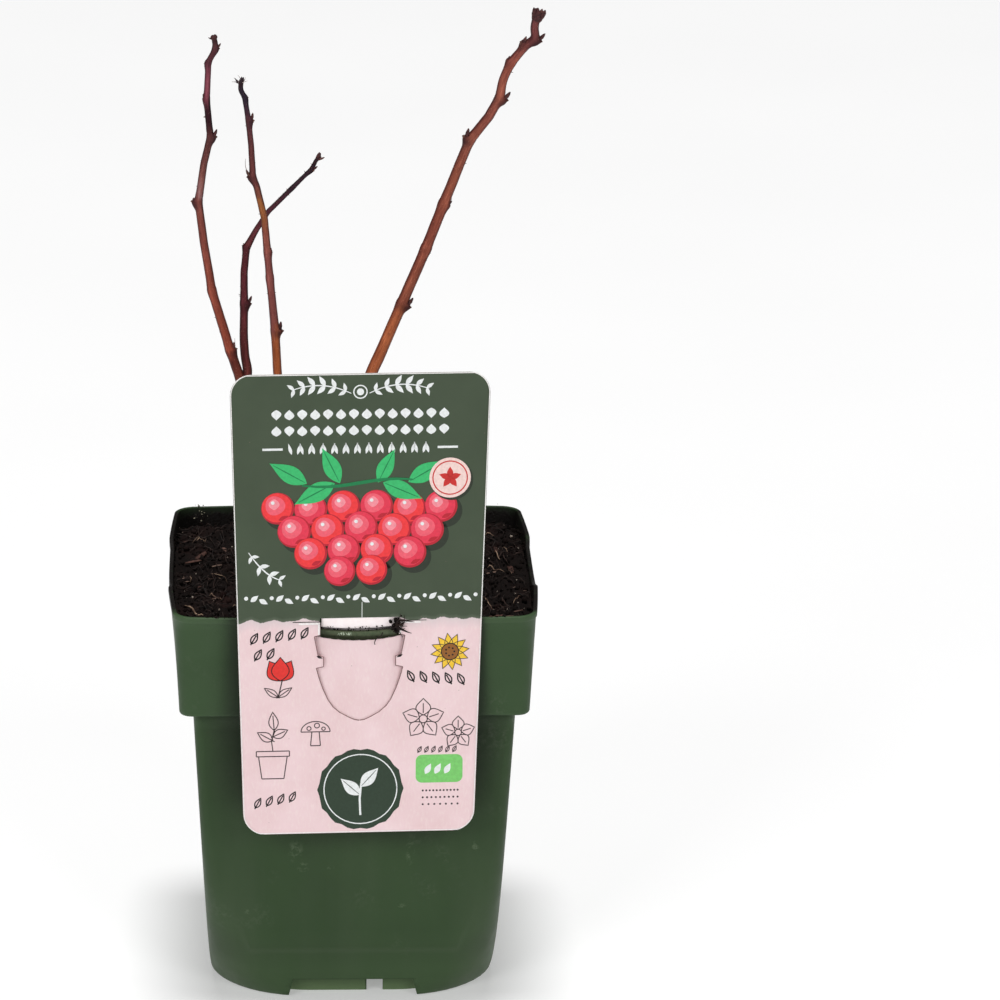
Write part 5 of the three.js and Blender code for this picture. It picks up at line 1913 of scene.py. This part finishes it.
def border():
    """A pale line just inside the card's edge, where the print stops short of the cut."""
    corner = CARD_CORNER * np.linspace(0, 1, 12) ** 2
    rise = np.concatenate([CARD_FOOT + 0.3 + corner, CARD_TOP - 0.3 - corner[::-1]])
    half = card_edge(rise) - 0.3
    across = np.concatenate([half, -half[::-1], half[:1], half[1:2]])
    up = np.concatenate([rise, rise[::-1], rise[:1], rise[1:2]])
    stroke(across, up, 0.36, BARE_EDGE)


border()
# on each side: painted shadow along the cut round the tongue, a painted dark opening at the end of the cut,
# and the pale rims of the slot
below_slot = np.array(WINDOW_EDGE[6:]) + (0.12, 0)
for hand in (-1, 1):
    straight_lines(below_slot * (hand, 1), 0.30, CUT_SHADOW_INK)
    leaf(hand * 17.1, -9.8, 270 - hand * 65, 2.7, 1, BLACK_INK)
    for a, b in (((24.2, 15.9), (3.6, 3.6)), ((16.2, 16.2), (3.6, -1.1))):
        stroke(hand * np.array(a), b, 0.66, BARE_EDGE, 1)

# %% [markdown]
# ## The printed picture
# The print is built up as inks are: a garland at the top, a bunch of berries on the dark field,
# and small drawings on the paper below. Every motif is made of leaves, discs and lines, so a few
# short functions and lists of places draw them all.

# %% Garland at the top
def sprig(start, end, sag, leaves, size, colour, line=0.5):
    """A drawn twig from start to end that sags in the middle, with leaves on both sides."""
    (x0, y0), (x1, y1) = start, end
    t = np.linspace(0, 1, 24)
    x, y = x0 + (x1 - x0) * t, y0 + (y1 - y0) * t - sag * 4 * t * (1 - t)
    stroke(x, y, line, colour, tapered=0.4)
    heading = np.degrees(np.arctan2(np.gradient(y), np.gradient(x)))
    for place in np.linspace(2, 22, leaves).astype(int):
        for hand in (-1, 1):
            length = size * (1 - 0.35 * abs(place / 12 - 1))
            leaf(x[place], y[place], heading[place] + hand * 52, length, 0.42 * length, colour, layer=1)


for hand in (-1, 1):
    sprig((hand * 3.6, 98), (hand * 27, 99.5), -2.6, 6, 5, WHITE_INK)
circle(0, 98.6, 1.4, WHITE_INK)
loop(0, 98.6, 2.6, 0.5, WHITE_INK)
PETAL_ROWS = (89.6, 83)
for row, height in enumerate(PETAL_ROWS):
    for i, x in enumerate(np.linspace(-33, 33, 14)):
        heading = 90 if (i + row) % 2 else -90
        leaf(x, height - np.sign(heading) * 2.1, heading, 4.2, 3.9, WHITE_INK)
for hand in (-1, 1):
    stroke(np.array([30.5, 38.5]) * hand, (75.6, 75.6), 0.9, WHITE_INK)
for i, x in enumerate(np.linspace(-27, 27, 25)):
    leaf(x, 73.4, 90 + 16 * (-1) ** i, 4.8, 1.3, WHITE_INK)


# %% Truss of berries
BERRY_ROWS = [
    # height, radius, and where each berry hangs, from the back row to the front row
    (51.5, 6.5, (-32.5, -19.5, -6.5, 6.5, 19.5, 32)),
    (42.5, 6.6, (-26, -12.8, 0.4, 13.6, 26.6)),
    (33.5, 6.5, (-19.5, -6.4, 6.7, 19.8)),
    (25, 6.2, (-8, 4.6)),
]
LAYERS_PER_BERRY = 5


def berry(x, y, radius, shade, layer):
    """A round berry: a dark rim, a red body, a pink glow towards the light, and a glint."""
    circle(x, y, radius, BERRY_DEEP, layer)
    circle(x - 0.05 * radius, y + 0.05 * radius, 0.92 * radius, shade, layer + 1)
    leaf(x + 0.05 * radius, y - 0.74 * radius, 24, 0.7 * radius, 0.26 * radius, BERRY_DEEP, layer + 2)
    circle(x - 0.16 * radius, y + 0.18 * radius, 0.60 * radius, BERRY_PINK, layer + 2, 0.04, 3)
    circle(x - 0.22 * radius, y + 0.26 * radius, 0.32 * radius, BERRY_LIGHT, layer + 3, 0.05, 4)
    circle(x - 0.30 * radius, y + 0.36 * radius, 0.11 * radius, WHITE_INK, layer + 4)


for row, (height, radius, places) in enumerate(BERRY_ROWS):
    for i, x in enumerate(places):
        rise = 0.8 * np.cos(x / 7)
        circle(x + 1.7, height + rise - 2, radius + 0.3, SHADOW_INK, 0)
        berry(x, height + rise, radius, (BERRY_RED, BERRY_ROSE)[(i + row) % 2], 1 + LAYERS_PER_BERRY * row)
LEAF_LAYER = 1 + LAYERS_PER_BERRY * len(BERRY_ROWS)
STALK_HEIGHT = 61.5
BERRY_LEAVES = [(-21, 150, 17), (-8, 116, 16), (7, 64, 15), (19, 30, 17), (-10, 208, 18), (9, -24, 17)]
for x, heading, length in BERRY_LEAVES:
    leaf(x, STALK_HEIGHT, heading, length, 0.42 * length, LEAF_GREEN, LEAF_LAYER, LEAF_DEEP)
stalk = np.linspace(-23, 21, 24)
stroke(stalk, STALK_HEIGHT + 1.4 * np.sin(stalk / 9), 1.4, LEAF_DEEP, LEAF_LAYER + 2, 0.6)

# %% Sticker, sprig and tagline
STICKER = (35.5, 63)
circle(STICKER[0] + 0.7, STICKER[1] - 0.8, 8.4, SHADOW_INK, LEAF_LAYER + 3)
circle(*STICKER, 8.2, PAPER_INK, LEAF_LAYER + 4)
loop(*STICKER, 6.8, 0.5, STICKER_RED, LEAF_LAYER + 5)
for turn in range(5):
    leaf(*STICKER, 90 + 72 * turn, 4.6, 2.5, STICKER_RED, LEAF_LAYER + 5)
sprig((-44, 33.5), (-31.5, 22), 2, 4, 4.6, WHITE_INK, 0.55)
for i, x in enumerate(np.linspace(-45, 46, 28)):
    if i % 3 == 0:
        circle(x, 14.6, 0.8, WHITE_INK)
    else:
        leaf(x - 1.6, 13.2 + (i % 3 - 1) * 0.9, 40 if i % 3 == 1 else -30, 4, 2, WHITE_INK)
stroke((0.9, 0.9), (5.9, 12.3), 0.35, CUT_WHITE)


# %% Flower drawings
def tulip(x, y, size):
    """A red tulip: three petals on a stalk with two leaves, all with dark outlines."""
    stroke((x - 0.1 * size, x + 0.1 * size), (y - 0.9 * size, y), 0.5, LINE_INK)
    for step, (heading, reach) in enumerate(((62, 1.05), (118, 1.05), (90, 1.1))):
        outline = leaf_outline(x, y - 0.1 * size, heading, reach * size, 0.78 * size)
        patch(*outline, TULIP_RED, 2 * step)
        outlined(outline, 0.38, BLACK_INK, 2 * step + 1)
    for heading in (35, 145):
        drawn_leaf(x - 0.1 * size, y - 0.85 * size, heading, 0.75 * size, 0.3 * size, 0.4, LINE_INK)


def sunflower(x, y, size):
    """A ring of yellow petals with dark outlines round a brown middle."""
    for turn in range(12):
        outline = leaf_outline(x, y, 30 * turn + 8, size, 0.42 * size)
        patch(*outline, SUN_YELLOW, turn % 2)
        outlined(outline, 0.3, LINE_INK, 2)
    circle(x, y, 0.44 * size, SUN_BROWN, 3)
    loop(x, y, 0.44 * size, 0.4, BLACK_INK, 4)
    for turn in np.linspace(0, 2 * np.pi, 7, endpoint=False):
        circle(x + 0.22 * size * np.cos(turn), y + 0.22 * size * np.sin(turn), 0.05 * size, BLACK_INK, 4)


def leaf_row(x, y, count, heading, size, line, colour, rise=0):
    """Small drawn leaves one after another."""
    for i in range(count):
        drawn_leaf(x + size * i, y + rise * i, heading, size, 0.48 * size, line, colour)


tulip(-31.5, -19, 9)
sunflower(36, -9, 7.8)
leaf_row(-43, -4.2, 5, 60, 5, 0.55, BLACK_INK, 0.5)
leaf_row(-41.5, -11, 2, 60, 5, 0.55, BLACK_INK, 0.4)
leaf_row(21.5, -21, 5, 118, 5, 0.55, BLACK_INK, -0.4)


# %% Line drawings
def seedling_in_pot(x, y, size):
    """A drawn pot, wider at its top, with a seedling of three leaves."""
    rim = [(-0.6, 0), (0.6, 0), (0.6, 0.2), (-0.6, 0.2), (-0.6, 0)]
    body = [(-0.52, 0), (-0.4, -0.85), (0.4, -0.85), (0.52, 0)]
    for route in (rim, body):
        straight_lines(np.array(route) * size + (x, y), 0.42, LINE_INK)
    stem = np.array([(0, 0.2), (-0.05, 0.6), (0.05, 1)]).T * size
    stroke(x + stem[0], y + stem[1], 0.42, LINE_INK)
    for across, up, heading, length in ((0.05, 1, 95, 0.7), (0, 0.6, 150, 0.65), (0, 0.75, 25, 0.6)):
        drawn_leaf(x + across * size, y + up * size, heading, length * size, 0.34 * size, 0.42, LINE_INK)


def drawn_blossom(x, y, size):
    """Five drawn petals round a dotted middle."""
    for turn in range(5):
        root = ray(x, y, 72 * turn + 18, (0.2,), size)
        outline = leaf_outline(root[0][0], root[1][0], 72 * turn + 18, 0.85 * size, 0.72 * size)
        outlined(outline, 0.4, LINE_INK)
        stroke(*ray(x, y, 72 * turn + 18, (0.3, 0.55, 0.8), size), 0.4, LINE_INK)
    loop(x, y, 0.2 * size, 0.4, LINE_INK)


def toadstool(x, y, size):
    """A drawn toadstool: half a round cap on a stalk."""
    angle = np.linspace(0, np.pi, 20)
    stroke(x + size * np.cos(angle), y + 0.75 * size * np.sin(angle), 0.42, LINE_INK)
    stroke((x - size, x + size), (y, y), 0.42, LINE_INK)
    for hand in (-1, 1):
        stroke((x + 0.25 * hand * size, x + 0.34 * hand * size), (y, y - 1.0 * size), 0.42, LINE_INK)
    stroke((x - 0.34 * size, x + 0.34 * size), (y - 1.0 * size, y - 1.0 * size), 0.42, LINE_INK)
    for across, up, spot in ((-0.45, 0.25, 0.14), (0.1, 0.45, 0.17), (0.55, 0.22, 0.12)):
        loop(x + across * size, y + up * size, spot * size, 0.4, LINE_INK)


seedling_in_pot(-34.5, -51.5, 11)
toadstool(-17.5, -41.5, 5.8)
drawn_blossom(25.5, -37, 8.2)
drawn_blossom(39.5, -43, 6.6)
leaf_row(-41.5, -73, 4, 62, 4.6, 0.5, BLACK_INK, 0.8)

# %% Badge and pill
BADGE = (0.5, -66)
circle(*BADGE, 16.9, BADGE_GREEN, 0, 0.025, 14)
loop(*BADGE, 14.6, 0.45, WHITE_INK, 1)
stroke((0.5, 0.2, 0.8), (-77, -70, -63.5), 0.8, WHITE_INK, 1)
leaf(0.6, -65, 48, 10.5, 5.2, WHITE_INK, 2, BADGE_GREEN)
leaf(0.4, -68.5, 138, 10.5, 5.2, WHITE_INK, 2, BADGE_GREEN)
rounded_box(32, -58, 9.4, 5.9, 2.6, PILL_GREEN)
for i in range(3):
    leaf(26.4 + 3.9 * i, -60.2, 62, 5, 2.4, WHITE_INK, 1)
leaf_row(23.5, -51, 6, 62, 2.8, 0.35, LINE_INK)
for row in range(3):
    for x in np.linspace(25.5, 39.5, 11 - 2 * row):
        circle(x, -67.2 - 2.9 * row, 0.42, LINE_INK)


# %% Print as one piece
WORN_TINT = (0.88, 0.87, 0.86)


def ink_finish():
    """Each point's own ink, slightly mottled as print on film is."""
    finish = Finish("printing_ink", Roughness=0.4, Specular_IOR_Level=0.3)
    ink = finish.value("ink")
    mottle = finish.levels(finish.noise(900), 0.35, 0.65)
    finish.set(Base_Color=finish.mixed(mottle, ink, finish.tinted(ink, WORN_TINT)))
    return finish.bump(finish.noise(700, detail=2), 0.01, 0.4).material


ink_points, ink_faces = joined([(points, faces) for points, faces, _ in ink_shapes])
inks = {"ink": np.concatenate([colours for _, _, colours in ink_shapes])}
print_on_card = on_card((ink_points, ink_faces))
piece("label_print", print_on_card, ink_finish(), smooth=False, values=inks)
print(len(ink_shapes), "printed shapes, top", round(float(ink_points[:, 2].max()), 3), "mm")


# %% [markdown]
# ## Soil at the slot
# Watering washes soil out over the rim, and it lodges where the strip goes through the card: a
# tuft of dark roots at one end, and crumbs along the strip.

# %% Root tuft and crumbs
TUFT = (14.6, 2.7, 0.3)
SPIKES = [
    [(14.8, 4.4), (17, 4.5), (19.4, 4), (21.8, 3.6)],
    [(15.2, 1.2), (17, 0.5), (18.8, -0.4), (20.6, -1.1)],
]
LOST_THREAD = [(9.2, -0.6), (8.7, -1.8), (7.4, -2.6), (6.4, -3.6), (5.9, -4.9), (6.1, -5.6)]
CARD_FRONT = np.array([0.0, 0.0, 1.0])
TUFT_THREADS = 34
TUFT_CRUMBS = 90
STRIP_CRUMBS = 22


def tuft_threads(rng, count):
    """Dark threads from one place that curl away, most of them to the right over the card."""
    s = np.linspace(0, 1, 10)[:, None]
    made = []
    for turn in rng.normal(-4, 48, count):
        heading, curl = np.radians(turn), rng.normal(0, 0.9)
        reach = rng.uniform(1.6, 5.2) * (1.0 - 0.5 * abs(turn) / 120)
        across = np.cos(heading + curl * s) * reach * s
        up = np.sin(heading + curl * s) * reach * s
        front = 1.3 * smooth_step(s, 0.0, 0.35) + 0.3 * np.sin(5 * s + turn)
        path = np.array(TUFT) + rng.normal(0, 0.8, 3) * (1, 1.2, 0.4) + np.hstack([across, up, front])
        made.append(tube(path, 0.24 * (1 - 0.6 * s[:, 0]), 5, np.array([0.0, 0.3, 1.0])))
    return made


def spike(points):
    """A stout root over the card that runs out to a point."""
    path = smooth_line(np.array([(x, y, 1.0 - 0.06 * x + 0.9) for x, y in points]), 5)
    return tube(path, np.linspace(0.55, 0.08, len(path)), 6, CARD_FRONT)


def lost_thread():
    """A fine root that fell over the card beside the slot."""
    path = smooth_line(np.array([(x, y, 0.55 - 0.09 * (y + 6)) for x, y in LOST_THREAD]), 4)
    return tube(path, np.full(len(path), 0.2), 5, CARD_FRONT)


def tongue_rim_line():
    """A thin line of soil that dried along the tongue's top edge."""
    wobble = 0.10 + 0.07 * np.sin(np.arange(TONGUE_COLUMNS) * 1.9)
    return tube(tongue_sheet()[0][-TONGUE_COLUMNS:], wobble, 5, CARD_FRONT)


wet_root = fibre_finish("wet_root", srgb(14, 8, 7), srgb(44, 27, 22))
roots = tuft_threads(soil_rng, TUFT_THREADS) + [spike(points) for points in SPIKES]
roots += [lost_thread(), tongue_rim_line()]
piece("roots_at_slot", on_card(grids(roots)), wet_root)

tuft_places = np.array(TUFT) + soil_rng.normal(0, 1, (TUFT_CRUMBS, 3)) * (1.1, 1.5, 0.5)
strip_x = soil_rng.uniform(-14.5, 14.5, STRIP_CRUMBS)
strip_y = 1.9 - 1.0 * (1 - (strip_x / HOOK_HALF) ** 2) + soil_rng.normal(0, 0.2, STRIP_CRUMBS)
strip_places = np.stack([strip_x, strip_y, np.full(STRIP_CRUMBS, -1.9)], axis=-1)
tuft_sizes = 0.25 + 0.65 * soil_rng.power(0.5, TUFT_CRUMBS)
slot_sizes = np.append(tuft_sizes, 0.12 + 0.3 * soil_rng.power(0.5, STRIP_CRUMBS))
slot_crumbs = lumps(soil_rng, np.concatenate([tuft_places, strip_places]), slot_sizes)
piece("crumbs_at_slot", on_card(many(slot_crumbs)), peat)

# %% [markdown]
# ## Floor and light
# A pale floor that runs past the picture on all sides, and soft light from large panels: two in
# front, one to the left and one to the right, and a weak one on each side. A broad light straight
# above and an even pale surround fill the rest. The two in front lay a soft shadow on both sides
# of the label, which lifts it off the pot. The floor glows, like a light table, so that the shadow
# round the foot stays soft and pale.

# %% Floor
FLOOR_HALF = 6000.0
FLOOR_DROP = 0.4
FLOOR_GLOW = 0.32

pale_floor = two_tones(
    "pale_floor", (3, 2), (0.3, 0.7), (0.67,) * 3, (0.69,) * 3,
    Roughness=0.9, Emission_Strength=FLOOR_GLOW,
)
across, deep = np.meshgrid([-FLOOR_HALF, FLOOR_HALF], [-FLOOR_HALF, FLOOR_HALF])
plane = surface(np.dstack([across, deep, np.full((2, 2), -FLOOR_DROP)]), closed=False)
floor = shown("floor", mesh_of("floor", plane))
floor.data.materials.append(pale_floor)

# %% Light panels, ceiling and surround
PANELS = {
    # name: (place in mm, size in mm, power in watts)
    "front_left_panel": ((-1450, -2150, 1400), 1100, 24.2),
    "front_right_panel": ((1300, -2250, 1400), 1100, 18.4),
    "left_panel": ((-2100, -300, 1100), 1200, 3.0),
    "right_panel": ((2100, -300, 1100), 1200, 3.0),
}
PANEL_AIM = (0.0, 0.0, 180.0)
CEILING_STRENGTH = 2.42
CEILING_ANGLE = 16.0
SURROUND_STRENGTH = 0.06


def lamp(name, kind, matrix, **settings):
    """A light with its settings, placed by a matrix; light leaves it along its own -Z axis."""
    data = bpy.data.lights.new(name, kind)
    for setting, value in settings.items():
        setattr(data, setting, value)
    shown(name, data).matrix_world = matrix


for panel_name, (place, size, power) in PANELS.items():
    aim = Vector(placed(PANEL_AIM) - placed(place)).to_track_quat("-Z", "Y").to_matrix().to_4x4()
    stand = Matrix.Translation(placed(place)) @ aim
    lamp(panel_name, "AREA", stand, shape="SQUARE", size=size * MILLIMETRE, energy=power)
lamp("ceiling", "SUN", Matrix.Identity(4), energy=CEILING_STRENGTH, angle=np.radians(CEILING_ANGLE))

world = bpy.data.worlds.new("surround")
world.use_nodes = True
world.node_tree.nodes["Background"].inputs["Color"].default_value = (1.0, 1.0, 1.0, 1.0)
world.node_tree.nodes["Background"].inputs["Strength"].default_value = SURROUND_STRENGTH
bpy.context.scene.world = world
bpy.context.scene.view_settings.view_transform = "Standard"
